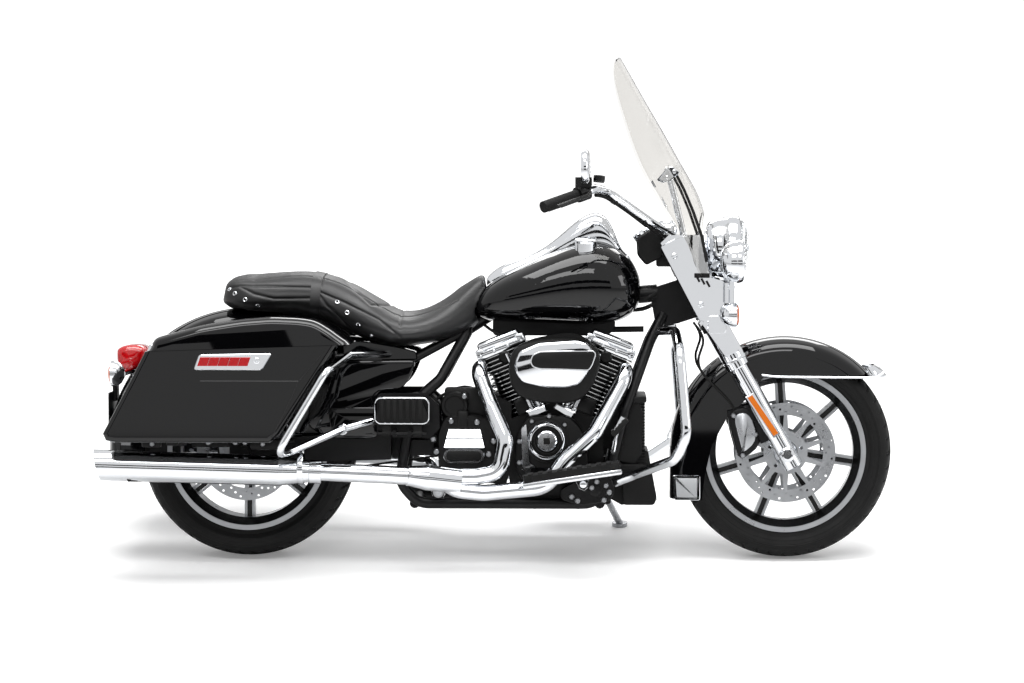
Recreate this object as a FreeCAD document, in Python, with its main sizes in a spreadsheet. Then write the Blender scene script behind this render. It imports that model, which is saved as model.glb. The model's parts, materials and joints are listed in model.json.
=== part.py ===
import FreeCAD, Part
import math
import os
import Sketcher
from FreeCAD import Placement, Rotation, Vector

# Touring cruiser motorcycle, parked on its side stand.
# It is drawn upright in the motorcycle's own frame, in millimetres: the rear axle stands at X 0,
# X points forward, Y to the rider's left and Z up from the ground. One placement then leans every
# piece onto the stand.

doc = FreeCAD.newDocument("touring_cruiser")
sheet = doc.addObject("Spreadsheet::Sheet", "Sizes")

SIZES = {
    # Chassis: the engine bay lies between the swingarm pivot and the front axle.
    "wheelbase": 1625,
    "pivot_x": 560,
    "pivot_z": 340,
    "lean_angle": 9,
    "rail_spread": 125,
    "rail_height": 171,
    "rail_radius": 16,
    "backbone_radius": 27,
    # Steering head and fork.
    "rake": 26,
    "trail": 170,
    "fork_angle": 29.25,
    "fork_spread": 125,
    "slider_radius": 29,
    "shroud_radius": 37,
    "fork_tube_radius": 24.5,
    "stem_radius": 16,
    "neck_radius": 31,
    "neck_low": 826,
    "neck_high": 974,
    "clamp_thick": 26,
    "running_fit": 0.05,
    # Wheels.
    "front_tyre_radius": 322,
    "front_tyre_width": 130,
    "rear_tyre_radius": 326,
    "rear_tyre_width": 180,
    "crown_radius": 105,
    "rim_radius": 243,
    "front_rim_width": 112,
    "rear_rim_width": 150,
    "spoke_count": 7,
    "spoke_width": 8,
    "spoke_gap": 15,
    "spoke_depth": 34,
    "hub_radius": 36,
    "axle_radius": 12.5,
    "disc_radius": 150,
    "disc_band": 35,
    "disc_thick": 5,
    "front_disc_y": 72,
    "rear_disc_y": 96,
    "pulley_radius": 108,
    "drive_pulley_radius": 44,
    "pulley_y": 107,
    "belt_width": 24,
    "belt_thick": 5,
    # Front fender and rear fender.
    "front_fender_gap": 23,
    "rear_fender_gap": 103,
    "fender_wall": 3,
    "front_fender_half": 85,
    "rear_fender_half": 106,
    # Engine.
    "crank_x": 932,
    "crank_z": 245,
    "bank_angle": 22.5,
    "bore_radius": 57,
    "fin_radius": 74,
    "fin_count": 12,
    "fin_pitch": 13,
    "fin_thick": 5,
    "deck_height": 216,
    "case_half": 104,
    # Bodywork.
    "tank_half": 180,
    "seat_half": 168,
    "bag_inner": 196,
    "bag_outer": 425,
    "bag_wall": 4,
    "lid_gap": 1,
    # Exhaust.
    "muffler_radius": 45,
    "muffler_y": 290,
    "muffler_z": 291,
    "header_radius": 24,
    # Bars and guards.
    "handlebar_radius": 12.7,
    "grip_radius": 17,
    "guard_radius": 15,
    "bag_guard_radius": 11,
    # Windshield.
    "screen_radius": 300,
    "screen_thick": 4.5,
    "screen_half": 240,
    # Boards and stand.
    "board_length": 290,
    "board_width": 104,
    "board_thick": 20,
    "step_length": 165,
    "step_width": 84,
    "stand_radius": 11,
}

for row, (alias, number) in enumerate(SIZES.items(), start=1):
    sheet.set(f"A{row}", alias)
    sheet.set(f"B{row}", str(number))
    sheet.setAlias(f"B{row}", alias)
doc.recompute()


class Cell:
    """A size with both its sheet expression and its present value."""

    def __init__(self, text, number):
        self.text = text
        self.number = number

    def joined(self, sign, other, result):
        other = as_cell(other)
        return Cell(f"({self.text} {sign} {other.text})", result(self.number, other.number))

    def __add__(self, other):
        return self.joined("+", other, lambda a, b: a + b)

    def __sub__(self, other):
        return self.joined("-", other, lambda a, b: a - b)

    def __mul__(self, other):
        return self.joined("*", other, lambda a, b: a * b)

    def __truediv__(self, other):
        return self.joined("/", other, lambda a, b: a / b)

    def __neg__(self):
        return Cell(f"(-1 * {self.text})", -self.number)


def as_cell(value):
    if isinstance(value, Cell):
        return value
    return Cell(repr(float(value)), float(value))


def cell(alias):
    return Cell(f"Sizes.{alias}", float(sheet.get(alias)))


class Present:
    """The sheet's numbers, for shapes that are worked out here."""

    def __getattr__(self, alias):
        return float(sheet.get(alias))


size = Present()
nodes = []
ACROSS = Vector(0, 1, 0)


# Sketched bodies


def origin_feature(body, role):
    return next(item for item in body.Origin.OriginFeatures if item.Role == role)


def sketched(body, name, role, loops, offset=0):
    """A closed-outline sketch whose corners are bound to the sheet."""
    sketch = body.newObject("Sketcher::SketchObject", name)
    sketch.AttachmentSupport = [(origin_feature(body, role), "")]
    sketch.MapMode = "FlatFace"
    offset = as_cell(offset)
    sketch.AttachmentOffset = Placement(Vector(0, 0, offset.number), Rotation())
    sketch.setExpression(".AttachmentOffset.Base.z", offset.text)
    for loop in loops:
        loop = [(as_cell(x), as_cell(y)) for x, y in loop]
        first = sketch.GeometryCount
        corners = [Vector(x.number, y.number, 0) for x, y in loop]
        for start, end in zip(corners, corners[1:] + corners[:1]):
            sketch.addGeometry(Part.LineSegment(start, end))
        for index in range(len(loop)):
            following = first + (index + 1) % len(loop)
            sketch.addConstraint(Sketcher.Constraint("Coincident", first + index, 2, following, 1))
        for index, corner in enumerate(loop):
            for kind, distance, axis in zip(("DistanceX", "DistanceY"), corner, (-2, -1)):
                if distance.number == 0:
                    sketch.addConstraint(
                        Sketcher.Constraint("PointOnObject", first + index, 1, axis))
                    continue
                rule = Sketcher.Constraint(kind, -1, 1, first + index, 1, distance.number)
                number = sketch.addConstraint(rule)
                sketch.setExpression(f"Constraints[{number}]", distance.text)
    return sketch


def turned(body, name, role, section):
    """A ring or boss turned about the sketch's upright axis."""
    sketch = sketched(body, name + "_section", role, [section])
    ring = body.newObject("PartDesign::Revolution", name)
    ring.Profile = sketch
    ring.ReferenceAxis = (sketch, ["V_Axis"])
    ring.Angle = 360
    return ring


def padded(body, name, role, loops, length, offset=0, midplane=True):
    sketch = sketched(body, name + "_outline", role, loops, offset)
    pad = body.newObject("PartDesign::Pad", name)
    pad.Profile = sketch
    pad.Midplane = midplane
    length = as_cell(length)
    pad.Length = length.number
    pad.setExpression("Length", length.text)
    return pad


def repeated_round(body, feature, axis, count):
    pattern = body.newObject("PartDesign::PolarPattern", feature.Name + "_round")
    pattern.Originals = [feature]
    pattern.Axis = (origin_feature(body, axis), [""])
    pattern.Angle = 360
    pattern.Occurrences = int(cell(count).number)
    pattern.setExpression("Occurrences", f"Sizes.{count}")
    body.Tip = pattern
    return pattern


def new_body(label):
    body = doc.addObject("PartDesign::Body", label)
    body.Label = label
    return body


# Shapes worked out from the sizes


def feature(label, shape):
    """A sub-part whose shape is worked out here."""
    thing = doc.addObject("Part::Feature", label)
    thing.Label = label
    thing.Shape = shape
    nodes.append((thing, thing.Placement))
    return thing.Shape


def keep(thing, placement=None):
    """Lists a finished sub-part with its place in the upright motorcycle."""
    nodes.append((thing, placement or Placement()))


def fused(*shapes):
    return shapes[0].multiFuse(list(shapes[1:])) if len(shapes) > 1 else shapes[0]


def cut(shape, *tools):
    for tool in tools:
        shape = shape.cut(tool)
    return shape


def mirrored(shape):
    return shape.mirror(Vector(), ACROSS)


def both_sides(shape):
    """The piece and its mirror image, as two solids of one node."""
    return Part.makeCompound([shape, mirrored(shape)])


def rod(start, end, radius):
    start, end = Vector(*start), Vector(*end)
    return Part.makeCylinder(radius, (end - start).Length, start, end - start)


def cone(start, end, start_radius, end_radius):
    start, end = Vector(*start), Vector(*end)
    return Part.makeCone(start_radius, end_radius, (end - start).Length, start, end - start)


def block(low, high):
    low, high = Vector(*low), Vector(*high)
    extent = high - low
    return Part.makeBox(extent.x, extent.y, extent.z, low)


def bent_tube(points, radius, bend):
    """A bar of straight runs joined by arcs, each arc as wide as its runs allow."""
    points = [Vector(*point) for point in points]
    rim = Part.makeCircle(radius, points[0], points[1] - points[0])
    faces = [Part.Face(Part.Wire(rim))]
    start = points[0]
    for before, corner, after in zip(points, points[1:], points[2:]):
        back = before - corner
        onward = after - corner
        shorter = min(back.Length, onward.Length)
        half = back.getAngle(onward) / 2
        radius_here = min(bend, 0.48 * shorter * math.tan(half))
        reach = radius_here / math.tan(half)
        back.normalize()
        onward.normalize()
        centre = corner + (back + onward).normalize() * (radius_here / math.sin(half))
        axis = onward.cross(back).normalize()
        step = corner + back * reach - start
        faces.append(rim.extrude(step))
        rim = rim.translated(step)
        sweep = 180 - 2 * math.degrees(half)
        faces.append(rim.revolve(centre, axis, sweep))
        rim = rim.rotated(centre, axis, sweep)
        start = corner + onward * reach
    step = points[-1] - start
    faces.append(rim.extrude(step))
    faces.append(Part.Face(Part.Wire(rim.translated(step))))
    shell = Part.makeShell(faces)
    shell.sewShape()
    return Part.makeSolid(Part.Shell(shell.Faces))


def outline_face(points, y):
    corners = [Vector(x, y, z) for x, z in points]
    return Part.Face(Part.makePolygon(corners + corners[:1]))


def side_plate(points, y_low, y_high, corner=0):
    """A plate cut to a side-view outline, its upright corners rounded where asked."""
    plate = outline_face(points, y_low).extrude(Vector(0, y_high - y_low, 0))
    if not corner:
        return plate
    edges = [edge for edge in plate.Edges if abs(edge.tangentAt(0).y) > 0.99]
    return plate.makeFillet(corner, edges)


def inset(points, distance):
    """The outline moved inward by a distance, corner by corner."""
    area = sum(a[0] * b[1] - b[0] * a[1] for a, b in zip(points, points[1:] + points[:1]))
    inward = 1 if area > 0 else -1
    moved = []
    for before, here, after in zip(points[-1:] + points[:-1], points, points[1:] + points[:1]):
        normals = []
        for start, end in ((before, here), (here, after)):
            length = math.hypot(end[0] - start[0], end[1] - start[1])
            normals.append(((start[1] - end[1]) / length * inward, (end[0] - start[0]) / length * inward))
        (ax, az), (bx, bz) = normals
        share = distance / (1 + ax * bx + az * bz)
        moved.append((here[0] + (ax + bx) * share, here[1] + (az + bz) * share))
    return moved


def crowned_plate(points, y_low, y_high, soft):
    """A plate whose outline draws in over the last stretch towards its outer face."""
    rings = []
    for y, share in ((y_low, 0.12), (y_low + 0.3 * soft, 0), (y_high - soft, 0), (y_high - 0.55 * soft, 0.1),
                     (y_high - 0.2 * soft, 0.4), (y_high, 1)):
        corners = [Vector(x, y, z) for x, z in inset(points, share * soft)]
        rings.append(Part.makePolygon(corners + corners[:1]))
    return lofted(rings, True)


def spun(profile, start, end):
    """A round piece on the line from start to end; its profile gives distance along and radius."""
    start, end = Vector(*start), Vector(*end)
    corners = [Vector(along, 0, radius) for along, radius in profile]
    face = Part.Face(Part.makePolygon(corners + corners[:1]))
    solid = face.revolve(Vector(), Vector(1, 0, 0), 360)
    solid.Placement = Placement(start, Rotation(Vector(1, 0, 0), end - start))
    return solid


def two_circle_face(big_centre, big, small_centre, small):
    """The outline of a band drawn tight round two circles in a side view."""
    run = small_centre - big_centre
    lean = math.asin((big - small) / run.Length)
    tilt = math.atan2(run.z, run.x)
    top = tilt + math.pi / 2 - lean
    bottom = tilt - math.pi / 2 + lean

    def rim(centre, radius, angle):
        return centre + Vector(math.cos(angle), 0, math.sin(angle)) * radius

    edges = [
        Part.LineSegment(rim(big_centre, big, top), rim(small_centre, small, top)).toShape(),
        Part.Arc(rim(small_centre, small, top), rim(small_centre, small, tilt),
                 rim(small_centre, small, bottom)).toShape(),
        Part.LineSegment(rim(small_centre, small, bottom), rim(big_centre, big, bottom)).toShape(),
        Part.Arc(rim(big_centre, big, bottom), rim(big_centre, big, tilt + math.pi),
                 rim(big_centre, big, top)).toShape(),
    ]
    return Part.Face(Part.Wire(edges))


def oval(x, half, low, high, power=2.6, count=16):
    """A squarish oval across the motorcycle at one station."""
    points = []
    for index in range(count):
        angle = 2 * math.pi * (index + 0.5) / count
        across = math.copysign(abs(math.cos(angle)) ** (2 / power), math.cos(angle))
        upward = math.copysign(abs(math.sin(angle)) ** (2 / power), math.sin(angle))
        y = half * across
        z = (low + high) / 2 + (high - low) / 2 * upward
        points.append(Vector(x, y, z))
    curve = Part.BSplineCurve()
    curve.interpolate(points, PeriodicFlag=True)
    return Part.Wire([curve.toShape()])


def lofted(wires, ruled=False):
    return Part.makeLoft(wires, True, ruled)


# Places that several sub-parts share

DRAWN_BAY = 1065
PIVOT_HALF = 80
LAMP_Z = 937
PLATE_PITCH = 146
rear_axle = Vector(0, 0, size.rear_tyre_radius)
front_axle = Vector(size.wheelbase, 0, size.front_tyre_radius)
steering_foot = Vector(size.wheelbase + size.trail, 0, 0)
steering_up = Rotation(ACROSS, -size.rake).multVec(Vector(0, 0, 1))
steering_fore = Rotation(ACROSS, -size.rake).multVec(Vector(1, 0, 0))
leg_up = Rotation(ACROSS, -size.fork_angle).multVec(Vector(0, 0, 1))


def bay(x):
    """A place drawn forward of the swingarm pivot follows the length of the bay."""
    if x <= size.pivot_x:
        return x
    return size.pivot_x + (x - size.pivot_x) * (size.wheelbase - size.pivot_x) / DRAWN_BAY


def chassis(points):
    return [(bay(point[0]), *point[1:]) for point in points]


def engine_share():
    """The engine shrinks with a bay shorter than the drawn one, and stays as it is in a longer one."""
    return min(1, (size.wheelbase - size.pivot_x) / DRAWN_BAY)


def engine_height(z):
    return size.crank_z + (z - size.crank_z) * engine_share()


def nose(points):
    """Places of the steered pieces are drawn from the front axle, heights from the ground."""
    return [(size.wheelbase + point[0], *point[1:]) for point in points]


def steered(along, ahead=0, across=0):
    """A point measured along the steering axis from the ground and ahead of it."""
    return steering_foot + steering_up * along + steering_fore * ahead + Vector(0, across, 0)


def leg_at(along):
    """The right fork leg's centre where it crosses a plane square to the steering axis."""
    foot = front_axle - Vector(0, size.fork_spread, 0)
    rise = along - (foot - steering_foot).dot(steering_up)
    return foot + leg_up * (rise / leg_up.dot(steering_up))


# Frame


def make_frame():
    spread = size.rail_spread
    tube = size.rail_radius
    neck = rod(steered(size.neck_low), steered(size.neck_high), size.neck_radius)
    stem_hole = rod(steered(size.neck_low - 5), steered(size.neck_high + 5), size.stem_radius)
    gusset_outline = chassis([(1215, 812), (1235, 700), (1300, 708)])
    top, low = steered(size.neck_high - 12, -12), steered(size.neck_low + 10, -12)
    gusset_outline += [(low.x, low.z), (top.x, top.z)]
    gusset = side_plate(gusset_outline, -23, 23)
    backbone = bent_tube(chassis([(1240, 0, 800), (1150, 0, 792), (760, 0, 760), (650, 0, 690)]),
                         size.backbone_radius, 150)
    outside_belt = size.pulley_y + size.belt_width / 2 + 7 + tube
    side = bent_tube(chassis([(1258, 14, 735), (1216, 55, 655), (1141, spread, 450),
                              (1096, spread, 270), (1066, spread, size.rail_height),
                              (520, spread, size.rail_height), (465, outside_belt, 236),
                              (505, outside_belt, 470), (585, spread, 540), (668, 60, 690),
                              (655, 20, 700)]), tube, 70)
    seat_rail = bent_tube([(bay(668), 60, 690), (480, 118, 590), (300, 126, 610),
                           (-60, 126, 585)], 13, 90)
    spans = [(510, size.rail_height), (bay(1066), size.rail_height), (bay(585), 540)]
    crossbars = [rod((x, -spread, z), (x, spread, z), tube - 1) for x, z in spans]
    engine_rests = [rod((bay(x), -spread, size.rail_height - 5), (bay(x), spread, size.rail_height - 5), 12)
                    for x in (870, 1000)]
    bag_rests = [rod((x, 120, z), (x, size.bag_inner, z), 9) for x, z in ((-20, 588), (262, 606))]
    pivot_lug = block((size.pivot_x - 82, PIVOT_HALF, size.pivot_z - 22),
                      (size.pivot_x + 8, outside_belt - tube + 5, size.pivot_z + 22))
    half = fused(side, seat_rail, pivot_lug, *bag_rests)
    whole = fused(neck, gusset, backbone, half, mirrored(half), *crossbars, *engine_rests)
    return feature("frame", cut(whole, stem_hole))


def make_swingarm():
    """Arms outside the belt that step inboard, between its two runs, to the pivot."""
    y_low = size.pulley_y + size.belt_width / 2 + 5
    y_high = y_low + 24
    step_x = size.pivot_x - 120
    axle_z, pivot_z = size.rear_tyre_radius, size.pivot_z
    arm_outline = [(-45, axle_z + 26), (-45, axle_z - 26), (30, axle_z - 34), (step_x, pivot_z - 36),
                   (step_x, pivot_z + 40), (300, pivot_z + 44)]
    arm = side_plate(arm_outline, y_low, y_high)
    inner_outline = [(step_x - 10, pivot_z - 36), (size.pivot_x, pivot_z - 28), (size.pivot_x, pivot_z + 28),
                     (step_x - 10, pivot_z + 40)]
    inner = side_plate(inner_outline, PIVOT_HALF - 28, PIVOT_HALF - 4)
    bridge = block((step_x - 40, -y_high, pivot_z - 36), (step_x, y_high, pivot_z + 40))
    pivot = rod((size.pivot_x, -PIVOT_HALF, pivot_z), (size.pivot_x, PIVOT_HALF, pivot_z), 30)
    axle = rod((0, -y_high - 14, axle_z), (0, y_high + 14, axle_z), size.axle_radius)
    nuts = [rod((0, side * (y_high - 1), axle_z), (0, side * (y_high + 12), axle_z), 20) for side in (-1, 1)]
    return feature("swingarm", fused(arm, mirrored(arm), inner, mirrored(inner), bridge, pivot, axle, *nuts))


# Wheels


def tyre_shape(radius, width, rim_half):
    """A tyre seated between the rim lips, with a round crown."""
    bead = size.rim_radius - 15
    lip = rim_half - 6
    half = width / 2
    shoulder = Vector(radius - 38, half, 0)
    bulge_top = radius - 30
    crown_y = half * 0.72
    crown_drop = size.crown_radius - math.sqrt(size.crown_radius ** 2 - crown_y ** 2)
    edge = Vector(radius - crown_drop, crown_y, 0)
    lip_point = Vector(size.rim_radius, lip, 0)
    flank = Vector((size.rim_radius + shoulder.x) / 2, half - 2, 0)
    over = Vector((edge.x + shoulder.x) / 2 + 6, (edge.y + shoulder.y) / 2 + 5, 0)

    def other(point):
        return Vector(point.x, -point.y, 0)

    edges = [
        Part.LineSegment(Vector(bead, -lip, 0), Vector(bead, lip, 0)).toShape(),
        Part.LineSegment(Vector(bead, lip, 0), lip_point).toShape(),
        Part.Arc(lip_point, flank, shoulder).toShape(),
        Part.Arc(shoulder, over, edge).toShape(),
        Part.Arc(edge, Vector(radius, 0, 0), other(edge)).toShape(),
        Part.Arc(other(edge), other(over), other(shoulder)).toShape(),
        Part.Arc(other(shoulder), other(flank), other(lip_point)).toShape(),
        Part.LineSegment(other(lip_point), Vector(bead, -lip, 0)).toShape(),
    ]
    return Part.Face(Part.Wire(edges)).revolve(Vector(), ACROSS, 360)


def make_wheel(label, rim_width, hub_half, axle, first_angle):
    """A cast wheel: turned hub and rim, joined by pairs of spokes."""
    body = new_body(label)
    bore = cell("axle_radius") + cell("running_fit")
    hub = cell("hub_radius")
    rim = cell("rim_radius")
    half = cell(rim_width) / 2
    seat = rim - 15
    well = rim - 29
    turned(body, "hub", "XY_Plane",
           [(bore, -hub_half), (hub, -hub_half), (hub, hub_half), (bore, hub_half)])
    inner = cell("spoke_gap") / 2
    outer = inner + cell("spoke_width")
    start = hub - 14
    reach = rim - 27
    spokes = padded(body, "spokes", "XZ_Plane",
                    [[(start, inner), (reach, inner), (reach, outer), (start, outer)],
                     [(start, -outer), (reach, -outer), (reach, -inner), (start, -inner)]],
                    cell("spoke_depth"))
    repeated_round(body, spokes, "Y_Axis", "spoke_count")
    lip = half - 6
    turned(body, "rim", "XY_Plane",
           [(seat, -lip), (rim, -lip), (rim, -half), (seat, -half), (well - 6, -half + 34),
            (well - 6, half - 34), (seat, half), (rim, half), (rim, lip), (seat, lip),
            (seat, lip - 24), (well, lip - 32), (well, -lip + 32), (seat, -lip + 24)])
    keep(body, Placement(axle, Rotation(Vector(0, -1, 0), first_angle)))
    return body


def make_disc(label):
    """A brake disc: a band carried by arms on a bolted ring."""
    body = new_body(label)
    outer = cell("disc_radius")
    inner = outer - cell("disc_band")
    half = cell("disc_thick") / 2
    hub = cell("hub_radius")
    turned(body, "ring", "XY_Plane", [(hub + 24, -half), (hub + 50, -half), (hub + 50, half),
                                      (hub + 24, half)])
    arms = padded(body, "arms", "XZ_Plane",
                  [[(hub + 40, -9), (inner + 4, -9), (inner + 4, 9), (hub + 40, 9)]],
                  cell("disc_thick"))
    repeated_round(body, arms, "Y_Axis", "spoke_count")
    turned(body, "band", "XY_Plane", [(inner, -half), (outer, -half), (outer, half), (inner, half)])
    return body


def mirrored_pair(label, *placed):
    """Sketched pieces in their places and their mirror images, as one sub-part."""
    pair = doc.addObject("Part::Compound", label)
    pair.Label = label
    links = []
    for source, place in placed:
        source.Placement = place
        image = doc.addObject("Part::Mirroring", source.Label + "_image")
        image.Source = source
        image.Normal = ACROSS
        links += [source, image]
    pair.Links = links
    keep(pair)
    return pair


def make_wheels():
    front_hub = cell("front_disc_y") - cell("disc_thick") / 2
    rear_hub = cell("rear_disc_y") - cell("disc_thick") / 2
    make_wheel("front_wheel", "front_rim_width", front_hub, front_axle, 94)
    make_wheel("rear_wheel", "rear_rim_width", rear_hub, rear_axle, -90)
    front_tyre = tyre_shape(size.front_tyre_radius, size.front_tyre_width, size.front_rim_width / 2)
    front_tyre.translate(front_axle)
    feature("front_tyre", front_tyre)
    rear_tyre = tyre_shape(size.rear_tyre_radius, size.rear_tyre_width, size.rear_rim_width / 2)
    rear_tyre.translate(rear_axle)
    feature("rear_tyre", rear_tyre)
    disc = make_disc("front_disc_right")
    mirrored_pair("front_discs", (disc, Placement(front_axle - ACROSS * size.front_disc_y, Rotation())))
    rear_disc = make_disc("rear_disc")
    keep(rear_disc, Placement(rear_axle - ACROSS * size.rear_disc_y, Rotation()))
    pulley = new_body("drive_pulley")
    hub = cell("hub_radius")
    radius = cell("pulley_radius")
    half = cell("belt_width") / 2
    foot = rear_hub - cell("pulley_y")
    turned(pulley, "pulley", "XY_Plane",
           [(hub - 20, foot), (hub + 10, foot), (hub + 10, -9), (radius - 12, -9), (radius - 12, -half),
            (radius, -half), (radius, half), (radius - 12, half), (radius - 12, -2), (hub + 4, -2),
            (hub + 4, 8), (hub - 20, 8)])
    keep(pulley, Placement(rear_axle + ACROSS * size.pulley_y, Rotation()))


# Steering head, fork and what they carry


def make_fork():
    """Both fork legs with the axle that they carry, and the clamps that turn them."""
    foot = front_axle - ACROSS * size.fork_spread
    slider = rod(foot - leg_up * 44, foot + leg_up * 320, size.slider_radius)
    shroud = rod(foot + leg_up * 300, foot + leg_up * 462, size.shroud_radius)
    top = leg_at(size.neck_high + 12 + size.clamp_thick)
    tube = rod(foot + leg_up * 440, top, size.fork_tube_radius)
    leg = fused(slider, shroud, tube)
    hub_face = size.front_disc_y - size.disc_thick / 2
    axle = rod(foot - ACROSS * 40, foot + ACROSS * (2 * size.fork_spread + 40), size.axle_radius)
    collar = rod(front_axle - ACROSS * (hub_face + 1), foot, 20)
    legs = feature("fork_legs", fused(leg, mirrored(leg), axle, collar, mirrored(collar)))

    place = Placement(steering_foot, Rotation(ACROSS, -size.rake))
    clamps = []
    for low, boss in ((size.neck_low - 5 - size.clamp_thick, size.shroud_radius + 4),
                      (size.neck_high + 5, size.fork_tube_radius + 7)):
        high = low + size.clamp_thick
        leg_centre = place.inverse().multVec(leg_at((low + high) / 2))
        across = size.fork_spread
        corners = [(38, 30), (leg_centre.x + 28, across), (leg_centre.x - 28, across), (-46, 34)]
        corners += [(x, -y) for x, y in reversed(corners)]
        plate = Part.Face(Part.makePolygon([Vector(x, y, low) for x, y in corners + corners[:1]]))
        clamp = plate.extrude(Vector(0, 0, size.clamp_thick))
        bosses = [rod((leg_centre.x, side * across, low), (leg_centre.x, side * across, high),
                      boss) for side in (-1, 1)]
        clamps.append(fused(clamp, *bosses))
    stem = rod((0, 0, size.neck_low - 20), (0, 0, size.neck_high + 20),
               size.stem_radius - size.running_fit)
    head = fused(*clamps, stem)
    head.Placement = place
    head = cut(head, legs)
    return feature("triple_clamps", head), legs


def handlebar_points():
    right = [(-366, 0, 990), (-366, 70, 990), (-403, 150, 1012), (-535, 250, 1104),
             (-575, 318, 1114), (-720, 435, 1062)]
    left = [(x, -y, z) for x, y, z in reversed(right[1:])]
    return nose(left + right[1:])


def make_handlebar(clamps):
    points = handlebar_points()
    bar = bent_tube(points, size.handlebar_radius, 70)
    foot_along = size.neck_high + 5 + size.clamp_thick
    risers = []
    for side in (-1, 1):
        top = Vector(*nose([(-366, side * 50, 992)])[0])
        risers.append(rod(steered(foot_along, -50, side * 50), top, 17))
    bar = feature("handlebar", cut(fused(bar, *risers), clamps))
    corner, end = Vector(*points[-2]), Vector(*points[-1])
    run = end - corner
    onward = Vector(run).normalize()
    forward = Vector(-onward.y, onward.x, 0)
    forward = forward * (-1 if forward.x < 0 else 1)
    forward.normalize()
    grip = cut(rod(corner + run * 0.36, end + onward * 5, size.grip_radius), bar)
    feature("hand_grips", both_sides(grip))
    housing = rod(corner + run * 0.16, corner + run * 0.35, 23)
    reservoir = block((-28, -22, 14), (20, 22, 44))
    reservoir.translate(corner + run * 0.2)
    lever = bent_tube([corner + run * 0.22 + forward * 8, corner + run * 0.3 + forward * 48,
                       corner + run * 0.6 + forward * 58, end + forward * 60], 6, 60)
    controls = cut(fused(housing, reservoir, lever), bar)
    feature("hand_controls", both_sides(controls))
    mirror_foot = corner + run * 0.2 + Vector(0, 0, 40)
    glass_x = nose([(-603, 0)])[0][0]
    stem = bent_tube([mirror_foot, mirror_foot + Vector(12, 20, 45), Vector(glass_x + 16, 398, 1170)],
                     5, 30)
    head = lofted([oval(glass_x - 12, 70, 1130, 1224), oval(glass_x, 76, 1126, 1228),
                   oval(glass_x + 14, 46, 1146, 1208)])
    head.translate(ACROSS * 405)
    mirror = cut(fused(stem, head), controls)
    feature("mirrors", both_sides(mirror))
    return bar


def make_nacelle(bar, clamps, legs):
    """A thin shell round the fork tops, bulged in front where the steering head stands."""
    outline = nose([(-379, 953), (-355, 977), (-248, 977), (-236, 932), (-236, 872), (-194, 783),
                    (-260, 747)])
    inside = nose([(-420, 880), (-374, 949), (-353, 973), (-251, 973), (-240, 931), (-240, 870),
                   (-200, 785), (-215, 740), (-280, 700)])
    half, wall = 158, 4

    def plan(points):
        points = nose(points)
        points = points + [(x, -y) for x, y in reversed(points)]
        corners = [Vector(x, y, 600) for x, y in points]
        return Part.Face(Part.makePolygon(corners + corners[:1])).extrude(Vector(0, 0, 500))

    outer = side_plate(outline, -half, half).common(
        plan([(-450, half), (-292, half), (-236, 96), (-180, 96)]))
    inner = side_plate(inside, wall - half, half - wall).common(
        plan([(-450, half - wall), (-294, half - wall), (-240, 92), (-180, 92)]))
    bulge_outline = nose([(-260, 747), (-194, 783), (-140, 812), (-140, 925), (-300, 925)])
    low, high = steered(size.neck_low - 60), steered(size.neck_high + 60)
    bulge = rod(low, high, size.neck_radius + 10).common(side_plate(bulge_outline, -100, 100))
    collar = rod((size.wheelbase - 244, 0, LAMP_Z), (size.wheelbase - 222, 0, LAMP_Z), 56)
    head_room = rod(low, steered(size.neck_high + 4), size.neck_radius + 6)
    lamp_room = rod((size.wheelbase - 222, 0, LAMP_Z), (size.wheelbase - 100, 0, LAMP_Z), 92)
    shell = cut(fused(outer, bulge, collar), inner, head_room, lamp_room, bar, clamps, legs)
    return feature("nacelle", max(shell.Solids, key=lambda solid: solid.Volume))


def round_lamp(label, section, place):
    body = new_body(label)
    turned(body, "bowl", "XY_Plane", section)
    keep(body, place)
    return body


def make_lamps(nacelle):
    forward = Rotation(Vector(0, 0, 1), -90)
    head_place = Placement(Vector(size.wheelbase - 222, 0, LAMP_Z), forward)
    round_lamp("headlamp", [(0, 0), (56, 0), (80, 14), (91, 44), (97, 66), (97, 84), (91, 90), (87, 90),
                            (87, 74), (0, 62)], head_place)
    round_lamp("headlamp_lens", [(0, 116), (45, 112), (72, 103), (87, 89), (87, 74), (0, 74)],
               head_place)
    side_place = Placement(Vector(size.wheelbase - 204, -205, 899), forward)
    bowl = new_body("passing_lamp_right")
    turned(bowl, "bowl", "XY_Plane", [(0, 0), (36, 6), (58, 30), (62, 42), (62, 56), (55, 60),
                                      (55, 68), (0, 74)])
    signal = new_body("front_signal_right")
    turned(signal, "bullet", "XY_Plane", [(0, 0), (24, 4), (35, 22), (37, 36), (33, 42), (0, 48)])
    signal_place = Placement(Vector(size.wheelbase - 200, -205, 741), forward)
    mirrored_pair("side_lamps", (bowl, side_place), (signal, signal_place))
    doc.recompute()
    bar_x = size.wheelbase - 170
    bar = rod((bar_x, -215, 824), (bar_x, 215, 824), 10)
    saddle = block((bar_x - 28, -40, 806), (bar_x, 40, 842))
    posts = [rod((bar_x, side * 205, 760), (bar_x, side * 205, 852), 8) for side in (-1, 1)]
    lamps = [bowl.Shape, signal.Shape]
    carrier = cut(fused(bar, saddle, *posts), nacelle, *lamps, *[mirrored(lamp) for lamp in lamps])
    return max(carrier.Solids, key=lambda solid: solid.Volume)


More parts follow.
